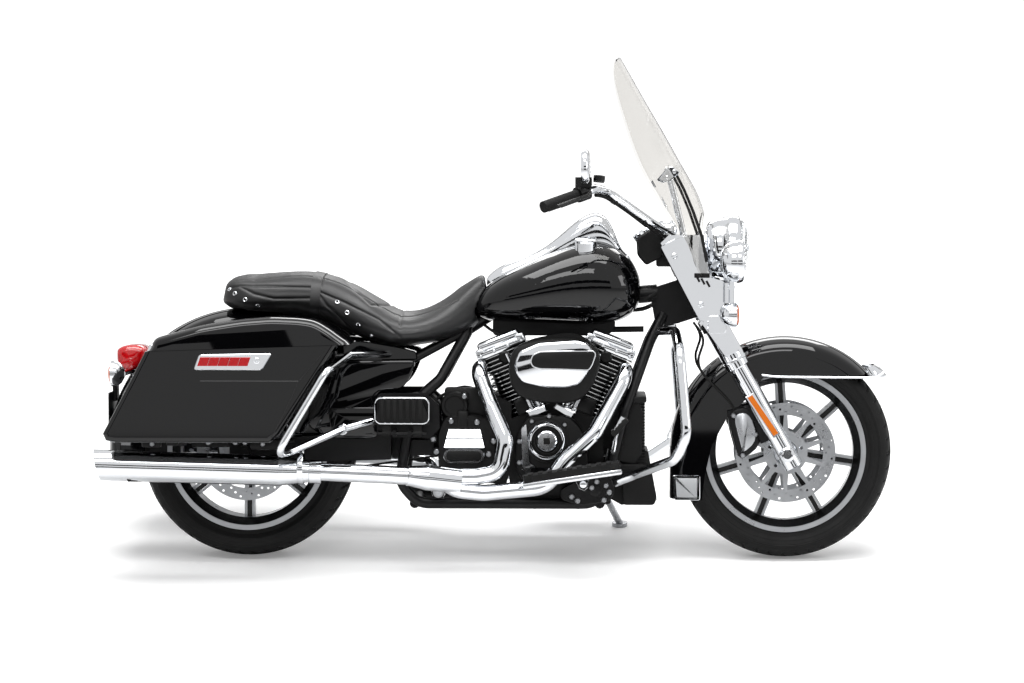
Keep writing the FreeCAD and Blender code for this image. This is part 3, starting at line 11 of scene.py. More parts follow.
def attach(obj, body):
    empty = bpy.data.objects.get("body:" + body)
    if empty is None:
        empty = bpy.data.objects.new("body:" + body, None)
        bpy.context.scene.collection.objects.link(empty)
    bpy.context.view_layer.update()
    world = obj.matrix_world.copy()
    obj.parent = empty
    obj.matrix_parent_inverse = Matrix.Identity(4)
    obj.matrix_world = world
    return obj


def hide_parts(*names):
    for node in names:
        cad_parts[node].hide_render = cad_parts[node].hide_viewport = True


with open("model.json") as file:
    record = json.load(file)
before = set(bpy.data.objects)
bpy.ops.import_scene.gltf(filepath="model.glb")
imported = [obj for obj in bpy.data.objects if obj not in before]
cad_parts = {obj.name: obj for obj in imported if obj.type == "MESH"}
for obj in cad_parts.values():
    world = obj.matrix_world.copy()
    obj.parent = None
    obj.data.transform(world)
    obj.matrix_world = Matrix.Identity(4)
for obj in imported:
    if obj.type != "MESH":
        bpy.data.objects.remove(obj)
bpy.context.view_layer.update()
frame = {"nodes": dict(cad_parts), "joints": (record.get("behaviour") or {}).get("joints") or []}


# The motorcycle leans on its side stand. Every piece below is drawn upright, in millimetres: the rear
# axle at X 0, X forward, Y to the rider's left and Z up from the tyres' foot. The rear wheel's joint
# says how that upright drawing stands in the model's own frame.
MM = 0.001
REAR_AXLE = Vector((0, 0, 326))
rear_spin = next(joint for joint in frame["joints"] if joint["name"] == "rear_wheel_spin")
across = Vector(rear_spin["axis"]).normalized()
forward = Vector((1, 0, 0))
upward = forward.cross(across)
turn = Matrix((forward, across, upward)).transposed()
STANCE = Matrix.Translation(Vector(rear_spin["pos_m"]) - turn @ (REAR_AXLE * MM)) @ turn.to_4x4()


# Camera: nine metres off the right side at the height of the tank. It leans with the motorcycle, because
# the photograph's frame stands upright against the machine.
def placed(name, data):
    """A new object of the scene that shows some data."""
    made = bpy.data.objects.new(name, data)
    bpy.context.scene.collection.objects.link(made)
    return made


eye = Vector((1.051, -9.0, 1.080))
aim = Vector((0.799, 0.0, 0.652))
camera_data = bpy.data.cameras.new("camera")
camera_data.lens = 104.3
camera_data.sensor_width = 36
camera_data.clip_end = 60
camera = placed("camera", camera_data)
look = (aim - eye).to_track_quat("-Z", "Y").to_matrix().to_4x4()
camera.matrix_world = STANCE @ Matrix.Translation(eye) @ look
bpy.context.scene.camera = camera
bpy.context.scene.view_settings.view_transform = "Standard"


# Studio: a seamless white floor and a white world, soft boxes overhead and on both sides, and dark
# cards that only polished metal and paint can see, as a photographer sets them to give chrome its edges.
def linear(text):
    """An sRGB hex colour as linear red, green, blue and alpha."""
    parts = [int(text[i:i + 2], 16) / 255 for i in (0, 2, 4)]
    return [c / 12.92 if c <= 0.04045 else ((c + 0.055) / 1.055) ** 2.4 for c in parts] + [1.0]


def add_node(tree, kind, inputs=(), **settings):
    """Adds a node; inputs maps a socket's name or number to a value or to another node's output."""
    node = tree.nodes.new(kind)
    for name, value in settings.items():
        setattr(node, name, value)
    for socket, value in dict(inputs).items():
        if isinstance(value, bpy.types.NodeSocket):
            tree.links.new(value, node.inputs[socket])
        else:
            node.inputs[socket].default_value = value
    return node


world = bpy.data.worlds.new("studio_white")
bpy.context.scene.world = world
world.use_nodes = True
sky = world.node_tree
sky.nodes.clear()
rays = add_node(sky, "ShaderNodeLightPath")
seen = add_node(sky, "ShaderNodeMath", {0: rays.outputs["Is Camera Ray"], 1: rays.outputs["Is Glossy Ray"]},
                operation="MAXIMUM")
seen = add_node(sky, "ShaderNodeMath", {0: seen.outputs[0], 1: rays.outputs["Is Transmission Ray"]},
                operation="MAXIMUM")
level = add_node(sky, "ShaderNodeMapRange", {"Value": seen.outputs[0], "To Min": 0.45, "To Max": 1.0})
white = add_node(sky, "ShaderNodeBackground", {"Color": linear("FFFFFF"), "Strength": level.outputs[0]})
add_node(sky, "ShaderNodeOutputWorld", {"Surface": white.outputs[0]})

floor_mesh = bpy.data.meshes.new("floor")
floor_mesh.from_pydata([(-40, -40, 0), (40, -40, 0), (40, 40, 0), (-40, 40, 0)], [], [(0, 1, 2, 3)])
floor = placed("floor", floor_mesh)
floor.location.z = -0.0005
paper = bpy.data.materials.new("white_paper_sweep")
paper.use_nodes = True
tree = paper.node_tree
tree.nodes.clear()
rays = add_node(tree, "ShaderNodeLightPath")
dimmer = add_node(tree, "ShaderNodeMath", {0: rays.outputs["Is Glossy Ray"], 1: 0.3}, operation="MULTIPLY")
seen = add_node(tree, "ShaderNodeMath", {0: rays.outputs["Is Camera Ray"], 1: dimmer.outputs[0]},
                operation="MAXIMUM")
seen = add_node(tree, "ShaderNodeMath", {0: seen.outputs[0], 1: rays.outputs["Is Transmission Ray"]},
                operation="MAXIMUM")
spot = add_node(tree, "ShaderNodeTexCoord")
away = add_node(tree, "ShaderNodeVectorMath", {0: spot.outputs["Object"]}, operation="LENGTH")
rise = add_node(tree, "ShaderNodeMapRange", {"Value": away.outputs["Value"], "From Min": 1.4, "From Max": 6.5,
                                             "To Min": 0.18, "To Max": 0.75},
                interpolation_type="SMOOTHSTEP")
glow = add_node(tree, "ShaderNodeMath", {0: seen.outputs[0], 1: rise.outputs[0]}, operation="MULTIPLY")
lift = add_node(tree, "ShaderNodeEmission", {"Color": linear("FFFFFF"), "Strength": glow.outputs[0]})
matt = add_node(tree, "ShaderNodeBsdfDiffuse", {"Color": linear("F4F4F4")})
both = add_node(tree, "ShaderNodeAddShader", {0: matt.outputs[0], 1: lift.outputs[0]})
add_node(tree, "ShaderNodeOutputMaterial", {"Surface": both.outputs[0]})
floor_mesh.materials.append(paper)


def soft_box(name, place, target, wide, high, power):
    data = bpy.data.lights.new(name, "AREA")
    data.shape = "RECTANGLE"
    data.size, data.size_y = wide, high
    data.energy = power
    lamp = placed(name, data)
    lamp.location = place
    lamp.rotation_euler = (Vector(target) - Vector(place)).to_track_quat("-Z", "Y").to_euler()


soft_box("overhead", (0, -0.3, 4.4), (0, 0, 0.5), 4.6, 2.4, 270)
soft_box("camera_side", (-0.6, -4.2, 4.6), (0, 0, 0.5), 4.2, 1.2, 110)
soft_box("far_side", (0.6, 5.0, 3.0), (0, 0, 0.6), 4.0, 1.4, 90)
soft_box("front_end", (5.5, -2.0, 2.2), (0.4, 0, 0.6), 1.4, 2.0, 45)

black_card = bpy.data.materials.new("black_card")
black_card.use_nodes = True
shader = black_card.node_tree.nodes["Principled BSDF"]
shader.inputs["Base Color"].default_value = linear("050505")
shader.inputs["Roughness"].default_value = 1.0
for number, (x, y, low, high, wide) in enumerate(((0.0, -11.5, 0.05, 1.3, 18), (0.0, -11.5, 2.95, 4.5, 18),
                                                  (0.0, 9.5, 0.15, 1.4, 16), (0.0, 9.5, 3.0, 4.2, 16))):
    mesh = bpy.data.meshes.new(f"card_{number}")
    half = wide / 2
    mesh.from_pydata([(x - half, y, low), (x + half, y, low), (x + half, y, high), (x - half, y, high)],
                     [], [(0, 1, 2, 3)])
    mesh.materials.append(black_card)
    card = placed(f"card_{number}", mesh)
    card.visible_camera = False
    card.visible_diffuse = False
    card.visible_shadow = False
    card.visible_transmission = False


# Frame, swingarm and brackets: welded steel tube and forgings in satin black powder coat. The powder
# leaves a faint orange peel, and dust dulls it a little here and there.
def coated(name, colour, roughness, **sockets):
    """A new material and its Principled shader, with its sockets set from keywords."""
    material = bpy.data.materials.new(name)
    material.use_nodes = True
    shader = material.node_tree.nodes["Principled BSDF"]
    shader.inputs["Base Color"].default_value = linear(colour)
    shader.inputs["Roughness"].default_value = roughness
    for socket, value in sockets.items():
        shader.inputs[socket.replace("_", " ")].default_value = value
    return material, shader


def grained(material, shader, size_mm, depth_mm, uneven=0.0, detail=2.0):
    """Adds a fine surface grain of a real size, and roughness that varies over a hand's width."""
    tree = material.node_tree
    place = add_node(tree, "ShaderNodeTexCoord")
    grain = add_node(tree, "ShaderNodeTexNoise", {"Vector": place.outputs["Object"], "Scale": 1000 / size_mm,
                                                  "Detail": detail})
    bump = add_node(tree, "ShaderNodeBump", {"Height": grain.outputs[0], "Distance": depth_mm * MM,
                                             "Strength": 1.0})
    tree.links.new(bump.outputs[0], shader.inputs["Normal"])
    if uneven:
        middle = shader.inputs["Roughness"].default_value
        cloud = add_node(tree, "ShaderNodeTexNoise", {"Vector": place.outputs["Object"], "Scale": 14.0,
                                                      "Detail": 4.0})
        spread = add_node(tree, "ShaderNodeMapRange", {"Value": cloud.outputs[0], "From Min": 0.3,
                                                       "From Max": 0.7, "To Min": middle - uneven,
                                                       "To Max": middle + uneven})
        tree.links.new(spread.outputs[0], shader.inputs["Roughness"])


def finish(material, *nodes):
    for node in nodes:
        for slot in frame["nodes"][node].material_slots:
            slot.material = material


powder, shader = coated("satin_black_powder_coat", "040405", 0.4, Specular_IOR_Level=0.22)
grained(powder, shader, 1.6, 0.02, 0.08)
finish(powder, "frame", "swingarm", "foot_brackets", "triple_clamps", "plate_bracket")


# Body panels: stamped steel and moulded shells in black lacquer, under a clear coat polished flat. The
# colour coat sends back no shine of its own, because the clear coat wets it.
gloss, shader = coated("gloss_black_lacquer", "040405", 0.3, Specular_IOR_Level=0.0, Coat_Weight=1.0,
                       Coat_Roughness=0.03, Coat_IOR=1.42)
grained(gloss, shader, 9.0, 0.004)
finish(gloss, "fuel_tank", "front_fender", "rear_fender", "saddlebag_left", "saddlebag_right",
       "saddlebag_lid_left", "saddlebag_lid_right")


# Bright work: steel and die castings, polished and chromium plated. The plating is mirror smooth, with a
# trace of haze where it has been wiped.
chrome, shader = coated("polished_chrome_plate", "D5D7DA", 0.06, Metallic=1.0)
grained(chrome, shader, 40.0, 0.03, 0.025)
finish(chrome, "nacelle", "headlamp", "tank_console", "rocker_boxes", "engine_covers", "air_cleaner",
       "exhaust_headers", "mufflers", "handlebar", "mirrors", "engine_guard", "bag_guards", "fork_legs",
       "lamp_and_screen_brackets", "pushrod_tubes", "latch_plates", "side_lamps", "rear_shocks",
       "rear_lamps", "foot_controls")


# Cast wheels: one alloy casting each, painted silver, with seven double spokes. The shade in the well between
# rim and tyre seat, and in the gap between the two bars of each spoke, is painted on: thin gloss black shells
# over the rim's inner slope and black bars along each spoke's middle.
UPRIGHT = STANCE @ Matrix.Scale(MM, 4)


def piece(name, bm, body, material, smooth=35, place=None):
    """Makes an upright millimetre drawing a closed piece that rides on a body."""
    if place is not None:
        bm.transform(place)
    bmesh.ops.remove_doubles(bm, verts=bm.verts, dist=0.005)
    bmesh.ops.recalc_face_normals(bm, faces=bm.faces)
    mesh = bpy.data.meshes.new(name)
    bm.to_mesh(mesh)
    bm.free()
    mesh.transform(UPRIGHT)
    return settled(placed(name, mesh), body, material, smooth)


def settled(made, body, material, smooth=35):
    """Gives a placed piece its finish, its smooth faces and its moving body."""
    if material is not None:
        made.data.materials.clear()
        made.data.materials.append(material)
    made.data.polygons.foreach_set("use_smooth", [True] * len(made.data.polygons))
    made.data.set_sharp_from_angle(angle=math.radians(smooth))
    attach(made, body)
    return made


def circle(bm, middle, one, other, radius, steps):
    """A ring of points round a middle; with no radius, one point."""
    return [bm.verts.new(middle + (one * math.cos(2 * math.pi * k / steps)
                                   + other * math.sin(2 * math.pi * k / steps)) * radius)
            for k in range(steps if radius > 0.001 else 1)]


def skinned(bm, rings, closed=False):
    """Puts faces between rings of points, and over both ends unless the last ring joins the first."""
    steps = max(len(ring) for ring in rings)
    for here, there in zip(rings, rings[1:] + (rings[:1] if closed else [])):
        for k in range(steps):
            after = (k + 1) % steps
            corners = [here[k % len(here)], here[after % len(here)], there[after % len(there)],
                       there[k % len(there)]]
            corners = list(dict.fromkeys(corners))
            if len(corners) > 2:
                bm.faces.new(corners)
    if not closed:
        for ring in (rings[0], rings[-1]):
            if len(ring) > 2:
                bm.faces.new(ring)


def lathe(bm, start, way, profile, steps=40, closed=False):
    """Turns a profile of (along, radius) pairs about a line; a closed one joins its ends."""
    start, way = Vector(start), Vector(way).normalized()
    side = way.orthogonal().normalized()
    other = way.cross(side)
    skinned(bm, [circle(bm, start + way * along, side, other, radius, steps) for along, radius in profile],
            closed)


FRONT_AXLE = Vector((1625, 0, 322))


def spoke_way(angle):
    """The way a spoke points at an angle round the axle."""
    return Vector((math.cos(angle), 0, math.sin(angle)))


def flat_bar(bm, centre, way, ends, low, high):
    """A bar along a spoke, from y low to high; ends gives its (along, half width) near and far."""
    beside = Vector((-way.z, 0, way.x))
    corners = [bm.verts.new(centre + way * along + beside * w * wide + Vector((0, y, 0)))
               for along, wide in ends for y in (low, high) for w in (-1, 1)]
    for quad in ((0, 1, 3, 2), (4, 6, 7, 5), (0, 2, 6, 4), (1, 5, 7, 3), (0, 4, 5, 1), (2, 3, 7, 6)):
        bm.faces.new([corners[k] for k in quad])


cast_silver, shader = coated("silver_painted_cast_alloy", "A9ABAE", 0.3, Metallic=0.8)
grained(cast_silver, shader, 1.4, 0.02, 0.05)
finish(cast_silver, "front_wheel", "rear_wheel", "rear_caliper")
# Painted shade: a near-black gloss finish standing in for the shade in the rim's well and between each
# spoke's two bars.
wheel_shade_black, shader = coated("painted_shade_wheel_black", "050505", 0.25, Specular_IOR_Level=0.4)
grained(wheel_shade_black, shader, 1.6, 0.01)
for name, axle, half, reach, cap_foot, first in (("front", FRONT_AXLE, 56, 88, 69, 94),
                                                 ("rear", REAR_AXLE, 75, 90, 92, -90)):
    body = f"{name}_wheel_set"
    bm = bmesh.new()
    # Painted shade: a thin black shell over the rim's inner slope, then black bars along the middle of each
    # spoke.
    for side in (-1, 1):
        lathe(bm, axle, (0, side, 0), [(half - 0.5, 227.4), (half + 0.1, 226.6), (half - 33.5, 207.6),
                                       (half - 34.5, 208.2)], 96, True)
    for index in range(7):
        way = spoke_way(math.radians(first) + 2 * math.pi * index / 7)
        for side in (-1, 1):
            flat_bar(bm, axle, way, ((60, 6.8), (212, 6.8)), side * 4, side * 12)
    piece(f"{name}_wheel_painted_shade", bm, body, wheel_shade_black)
    bm = bmesh.new()
    for side in (-1, 1):
        lathe(bm, axle, (0, side, 0), [(cap_foot, 36.5), (reach - 8, 34), (reach, 27), (reach, 13), (60, 13)],
              48, True)
        for index in range(5):
            lathe(bm, axle + 49 * spoke_way(2 * math.pi * index / 5 + 0.3), (0, side, 0),
                  [(60, 6.5), (reach - 8, 6.5), (reach - 6, 5), (reach - 6, 0)], 12)
    piece(f"{name}_hub_caps", bm, body, chrome)


# Tyres: black rubber moulded in a heated die, so the side walls carry fine rings and the tread has
# slanting grooves that stop short of the middle, shallower towards the shoulders.
tyre_rubber, shader = coated("moulded_tyre_rubber", "070707", 0.62, Specular_IOR_Level=0.2)
grained(tyre_rubber, shader, 2.4, 0.05, 0.08)
TYRE_STEPS = 540
TREAD_PITCH = 42.0
for name, axle, half, rim_half in (("front", FRONT_AXLE, 65, 50), ("rear", REAR_AXLE, 90, 69)):
    radius = axle.z
    section = [(228, rim_half), (243, rim_half + 0.5), (249, rim_half + 3), (256, rim_half + 4.5),
               (257.5, rim_half + 6.5), (268, half - 4), (270, half - 4.6), (280, half - 1),
               (282, half - 1.6), (radius - 38, half), (radius - 34, half - 0.4), (radius - 33, half - 1.6),
               (radius - 26, half - 4)]
    crown = 105
    top = [(radius - crown + math.sqrt(crown ** 2 - y ** 2), y)
           for y in np.linspace(half * 0.74, -half * 0.74, 33)]
    section += [(radius - 19, half - 9)] + top + [(radius - 19, -(half - 9))]
    section += [(r, -y) for r, y in reversed(section[:13])]
    bm = bmesh.new()
    rings = []
    for index in range(TYRE_STEPS):
        angle = 2 * math.pi * index / TYRE_STEPS
        ring = []
        for r, y in section:
            if abs(y) < half * 0.9 and r > radius - 24:
                travel = angle * radius + 0.55 * abs(y) + (21 if y < 0 else 0)
                phase = (travel / TREAD_PITCH) % 1
                if phase < 0.13 and 7 < abs(y) < half * 0.86:
                    r -= 5
                if abs(abs(y) - half * 0.33) < 2.4:
                    r -= 4
            ring.append(bm.verts.new(axle + r * spoke_way(angle) + Vector((0, y, 0))))
        rings.append(ring)
    skinned(bm, rings, True)
    tyre = piece(f"{name}_tyre_moulded", bm, f"{name}_wheel_set", tyre_rubber, 30)
    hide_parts(f"{name}_tyre")


# Brake discs: ground stainless steel, floating on a bright carrier. Each has drilled holes; here the
# outline and every hole are one filled curve, thickened to a plate.
def node_group(name, inputs):
    """A geometry tree with named inputs; gives the tree and its input and output nodes."""
    group = bpy.data.node_groups.new(name, "GeometryNodeTree")
    group.interface.new_socket("Geometry", in_out="INPUT", socket_type="NodeSocketGeometry")
    for label, kind, value in inputs:
        socket = group.interface.new_socket(label, in_out="INPUT", socket_type=kind)
        if value is not None:
            socket.default_value = value
    group.interface.new_socket("Geometry", in_out="OUTPUT", socket_type="NodeSocketGeometry")
    return group, group.nodes.new("NodeGroupInput"), group.nodes.new("NodeGroupOutput")


def give_out(group, geometry, inside, outside):
    """Ends a tree: sets its material on the geometry and gives that out."""
    ready = add_node(group, "GeometryNodeSetMaterial", {0: geometry.outputs[0],
                                                        "Material": inside.outputs["Material"]})
    group.links.new(ready.outputs[0], outside.inputs[0])


def grown(name, mesh, group, values):
    """Runs a geometry tree on a mesh and gives the result as a plain piece."""
    holder = placed(name + "_seed", mesh)
    modifier = holder.modifiers.new("nodes", "NODES")
    modifier.node_group = group
    for item in group.interface.items_tree:
        if item.in_out == "INPUT" and item.name in values:
            modifier[item.identifier] = values[item.name]
    graph = bpy.context.evaluated_depsgraph_get()
    result = bpy.data.meshes.new_from_object(holder.evaluated_get(graph))
    holder.modifiers.remove(modifier)
    bpy.data.objects.remove(holder)
    result.name = name
    return placed(name, result)


steel, shader = coated("ground_stainless_steel", "A9ABAE", 0.3, Metallic=1.0)
grained(steel, shader, 0.8, 0.01, 0.06)
finish(steel, "drive_pulley", "side_stand")
drilled, inside, outside = node_group("drilled_disc", (
    ("Outer", "NodeSocketFloat", 0.150), ("Inner", "NodeSocketFloat", 0.112),
    ("Thick", "NodeSocketFloat", 0.005), ("Hole", "NodeSocketFloat", 0.0036),
    ("Material", "NodeSocketMaterial", None)))
outer, inner, hole = (add_node(drilled, "GeometryNodeCurvePrimitiveCircle",
                               {"Resolution": fineness, "Radius": inside.outputs[size]})
                      for fineness, size in ((128, "Outer"), (96, "Inner"), (12, "Hole")))
holes = add_node(drilled, "GeometryNodeInstanceOnPoints", {"Points": inside.outputs["Geometry"],
                                                           "Instance": hole.outputs[0]})
loose = add_node(drilled, "GeometryNodeRealizeInstances", {0: holes.outputs[0]})
joined = add_node(drilled, "GeometryNodeJoinGeometry")
for part in (outer, inner, loose):
    drilled.links.new(part.outputs[0], joined.inputs[0])
face = add_node(drilled, "GeometryNodeFillCurve", {0: joined.outputs[0]})
thick = add_node(drilled, "GeometryNodeExtrudeMesh", {"Mesh": face.outputs[0], "Individual": False,
                                                      "Offset Scale": inside.outputs["Thick"]})
back = add_node(drilled, "GeometryNodeFlipFaces", {0: face.outputs[0]})
closed = add_node(drilled, "GeometryNodeJoinGeometry")
for part in (thick, back):
    drilled.links.new(part.outputs[0], closed.inputs[0])
welded = add_node(drilled, "GeometryNodeMergeByDistance", {0: closed.outputs[0], "Distance": 0.00001})
give_out(drilled, welded, inside, outside)
HOLES, HOLE_ROWS = 48, (122, 131, 140)
for name, axle, y, body, node in (
        ("front_disc_right", FRONT_AXLE, -72, "front_wheel_set", "front_discs"),
        ("front_disc_left", FRONT_AXLE, 72, "front_wheel_set", "front_discs"),
        ("rear_disc_right", REAR_AXLE, -96, "rear_wheel_set", "rear_disc")):
    middle = axle + Vector((0, y, 0))
    seed = bpy.data.meshes.new(name + "_holes")
    spots = [spoke_way(2 * math.pi * k / HOLES) * HOLE_ROWS[k % 3] * MM for k in range(HOLES)]
    seed.from_pydata([(spot.x, spot.z, 0) for spot in spots], [], [])
    disc = grown(name, seed, drilled, {"Outer": 0.150, "Inner": 0.113, "Thick": 0.005, "Hole": 0.0036,
                                       "Material": steel})
    disc.data.transform(STANCE @ Matrix.Translation((middle + Vector((0, 2.5, 0))) * MM)
                        @ Matrix.Rotation(math.radians(90), 4, "X"))
    settled(disc, body, steel)
    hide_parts(node)
    bm = bmesh.new()
    for index in range(10):
        way = spoke_way(2 * math.pi * (index + 0.5) / 10)
        flat_bar(bm, middle, way, ((62, 9), (116, 5)), -3.2, 3.2)
        lathe(bm, middle + way * 116, (0, 1, 0), [(-4.5, 0), (-4.5, 6), (4.5, 6), (4.5, 0)], 12)
    lathe(bm, middle, (0, 1, 0), [(-3.4, 36.3), (-3.4, 66), (3.4, 66), (3.4, 36.3)], 72, True)
    piece(name + "_carrier", bm, body, cast_silver)


# Crankcase: two cast alloy halves in black crinkle enamel, whose wrinkled skin hides the casting's own
# roughness. The oil cooler ahead of it and the intake tube between the banks wear the same finish.
def inset(outline, by):
    """An outline of (x, z) points moved inwards by a distance."""
    points = [Vector(point) for point in outline]
    around = sum(a.x * b.y - b.x * a.y for a, b in zip(points, points[1:] + points[:1]))
    side = 1 if around > 0 else -1
    moved = []
    for index, here in enumerate(points):
        before, after = points[index - 1], points[(index + 1) % len(points)]
        one, two = (here - before).normalized(), (after - here).normalized()
        inward = Vector((-one.y - two.y, one.x + two.x)).normalized() * side
        moved.append(tuple(here + inward * by / max(0.4, inward.dot(Vector((-one.y, one.x)) * side))))
    return moved


def rounded(outline, times=2):
    """Cuts an outline's corners, a quarter of each side at a time."""
    for _ in range(times):
        outline = [tuple(Vector(a) * (1 - t) + Vector(b) * t)
                   for a, b in zip(outline, outline[1:] + outline[:1]) for t in (0.25, 0.75)]
    return outline


def softened(outline, radius, steps=4):
    """Rounds each corner of an outline by about one radius."""
    soft = []
    points = [Vector(point) for point in outline]
    for index, here in enumerate(points):
        before, after = points[index - 1], points[(index + 1) % len(points)]
        start = here + (before - here).normalized() * min(radius, (before - here).length / 2.05)
        end = here + (after - here).normalized() * min(radius, (after - here).length / 2.05)
        for k in range(steps + 1):
            t = k / steps
            soft.append(tuple(start * (1 - t) ** 2 + here * 2 * t * (1 - t) + end * t ** 2))
    return soft


def layered(bm, outline, layers):
    """Stacks an outline of (x, z) points along y; each layer is its y and how far it is moved inwards."""
    skinned(bm, [[bm.verts.new((x, y, z)) for x, z in inset(outline, by)] for y, by in layers])


def block(bm, low, high, bevel=2.0, place=None, segments=2):
    """A cast block between two corners with its edges rounded."""
    made = bmesh.ops.create_cube(bm, size=1.0)["verts"]
    low, high = Vector(low), Vector(high)
    for vert in made:
        vert.co = Vector([(low[k] + high[k]) / 2 + vert.co[k] * (high[k] - low[k]) for k in range(3)])
    if bevel:
        edges = list({edge for vert in made for edge in vert.link_edges})
        made = bmesh.ops.bevel(bm, geom=made + edges, offset=bevel, segments=segments, profile=0.5,
                               affect="EDGES")["verts"]
    if place is not None:
        for vert in {vert for vert in made if vert.is_valid}:
            vert.co = place @ vert.co


crinkle, shader = coated("black_crinkle_engine_enamel", "040404", 0.5, Specular_IOR_Level=0.22)
grained(crinkle, shader, 1.8, 0.12, 0.08, 4.0)
finish(crinkle, "engine_case", "oil_cooler", "intake")
bm = bmesh.new()
for z in range(304, 468, 9):
    block(bm, (1180, -104, z), (1202, 104, z + 2.4), 0.6, None, 1)
for x in (1128, 1188):
    for z in (282, 482):
        lathe(bm, (x, 0, z), (0, 1, 0), [(-118, 0), (-118, 10), (118, 10), (118, 0)], 16)
block(bm, (1108, -120, 268), (1206, 120, 290), 5)
block(bm, (1108, -120, 474), (1206, 120, 494), 5)
piece("oil_cooler_fins_and_frame", bm, "chassis", crinkle)
flap = softened([(1126, 329), (1211, 329), (1238, 185), (1229, 164), (1138, 164)], 8)
bm = bmesh.new()
layered(bm, flap, [(-96, 2), (-94, 0), (94, 0), (96, 2)])
piece("chin_flap", bm, "chassis", crinkle)


# Cylinders and heads: cast alloy barrels in black enamel, with the edge of every cooling fin milled bright
# after painting. Two banks, 45 degrees apart, on one crankcase.
CRANK = Vector((932, 0, 245))
BANKS = {"rear": Matrix.Translation(CRANK) @ Matrix.Rotation(math.radians(-22.5), 4, "Y"),
         "front": Matrix.Translation(CRANK) @ Matrix.Rotation(math.radians(22.5), 4, "Y")}
stacked, inside, outside = node_group("stacked_fins", (
    ("Count", "NodeSocketInt", 14), ("Pitch", "NodeSocketFloat", 13.0),
    ("Material", "NodeSocketMaterial", None)))
step = add_node(stacked, "ShaderNodeCombineXYZ", {"Z": inside.outputs["Pitch"]})
line = add_node(stacked, "GeometryNodeMeshLine",
                {"Count": inside.outputs["Count"], "Offset": step.outputs[0]}, mode="OFFSET")
repeat = add_node(stacked, "GeometryNodeInstanceOnPoints", {"Points": line.outputs[0],
                                                            "Instance": inside.outputs["Geometry"]})
real = add_node(stacked, "GeometryNodeRealizeInstances", {0: repeat.outputs[0]})
give_out(stacked, real, inside, outside)

cylinder_enamel, shader = coated("black_cylinder_enamel", "040404", 0.38, Specular_IOR_Level=0.22)
grained(cylinder_enamel, shader, 1.2, 0.04, 0.05)
milled, shader = coated("milled_bright_alloy", "D2D3D4", 0.22, Metallic=1.0)
grained(milled, shader, 0.6, 0.01, 0.05)


def fin_outline(half_x, low_y, high_y, corner, steps=7):
    """A rounded rectangle of (x, y) points."""
    points = []
    for cx, cy, start in ((half_x - corner, high_y - corner, 0), (corner - half_x, high_y - corner, 90),
                          (corner - half_x, low_y + corner, 180), (half_x - corner, low_y + corner, 270)):
        for index in range(steps):
            angle = math.radians(start + 90 * index / (steps - 1))
            points.append((cx + corner * math.cos(angle), cy + corner * math.sin(angle)))
    return points


for bank, place in BANKS.items():
    for label, first, count, sizes in (("barrel", 226, 11, (72, -76, 76, 44)),
                                       ("head", 370, 4, (80, -116, 92, 30))):
        outline = fin_outline(*sizes)
        fin, rim = bpy.data.meshes.new(f"{bank}_{label}_fin"), bpy.data.meshes.new(f"{bank}_{label}_rim")
        corners = len(outline)
        sides = [(k, (k + 1) % corners) for k in range(corners)]
        fin.from_pydata([(x, y, z) for z in (0, 2.6) for x, y in inset(outline, 2)], [],
                        [tuple(reversed(range(corners))), tuple(range(corners, 2 * corners))]
                        + [(k, after, after + corners, k + corners) for k, after in sides])
        rings = [(x, y, z) for by, z in ((4, -0.3), (0, 0), (0, 2.6), (4, 2.9))
                 for x, y in inset(outline, by)]
        faces = [(a * corners + k, a * corners + after, b * corners + after, b * corners + k)
                 for a, b in ((0, 1), (1, 2), (2, 3), (3, 0)) for k, after in sides]
        rim.from_pydata(rings, [], faces)
        for name, seed, material, slot in ((f"{bank}_{label}_fins", fin, cylinder_enamel, "satin_black"),
                                           (f"{bank}_{label}_fin_edges", rim, milled, "machined_steel")):
            made = grown(name, seed, stacked, {"Count": count, "Pitch": 13.0, "Material": material})
            made.data.transform(UPRIGHT @ place @ Matrix.Translation((0, 0, first)))
            settled(made, "chassis", material)
    bm = bmesh.new()
    lathe(bm, (0, 0, 206), (0, 0, 1), [(0, 0), (0, 66), (6, 68), (158, 62), (158, 0)], 48)
    block(bm, (-64, -100, 362), (64, 78, 418), 8)
    block(bm, (-30, -112, 214), (30, -70, 262), 6)
    lathe(bm, (0, -100, 396), (0, -1, 0), [(0, 0), (0, 21), (20, 19), (24, 14), (24, 0)], 24)
    made = piece(f"{bank}_cylinder_core", bm, "chassis", cylinder_enamel, 35, place)
    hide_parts("cylinders")


# Bolts and screws all over the machine: plated steel with low domed heads. Each group is set from a list of
# its places and of the way each head faces.
bolts, inside, outside = node_group("set_bolts", (
    ("Radius", "NodeSocketFloat", 6.0), ("Height", "NodeSocketFloat", 5.0), ("Sides", "NodeSocketInt", 12),
    ("Material", "NodeSocketMaterial", None)))
way = add_node(bolts, "GeometryNodeInputNamedAttribute", {"Name": "way"}, data_type="FLOAT_VECTOR")
aim_way = add_node(bolts, "FunctionNodeAlignRotationToVector", {"Vector": way.outputs[0]}, axis="Z")
shank = add_node(bolts, "GeometryNodeMeshCylinder", {"Vertices": inside.outputs["Sides"],
                                                     "Radius": inside.outputs["Radius"],
                                                     "Depth": inside.outputs["Height"]})
narrow = add_node(bolts, "ShaderNodeMath", {0: inside.outputs["Radius"], 1: 0.72}, operation="MULTIPLY")
rise = add_node(bolts, "ShaderNodeMath", {0: inside.outputs["Height"], 1: 0.5}, operation="MULTIPLY")
crown = add_node(bolts, "GeometryNodeMeshCone", {"Vertices": inside.outputs["Sides"],
                                                 "Radius Top": narrow.outputs[0],
                                                 "Radius Bottom": inside.outputs["Radius"],
                                                 "Depth": rise.outputs[0]})
lift_by = add_node(bolts, "ShaderNodeCombineXYZ", {"Z": rise.outputs[0]})
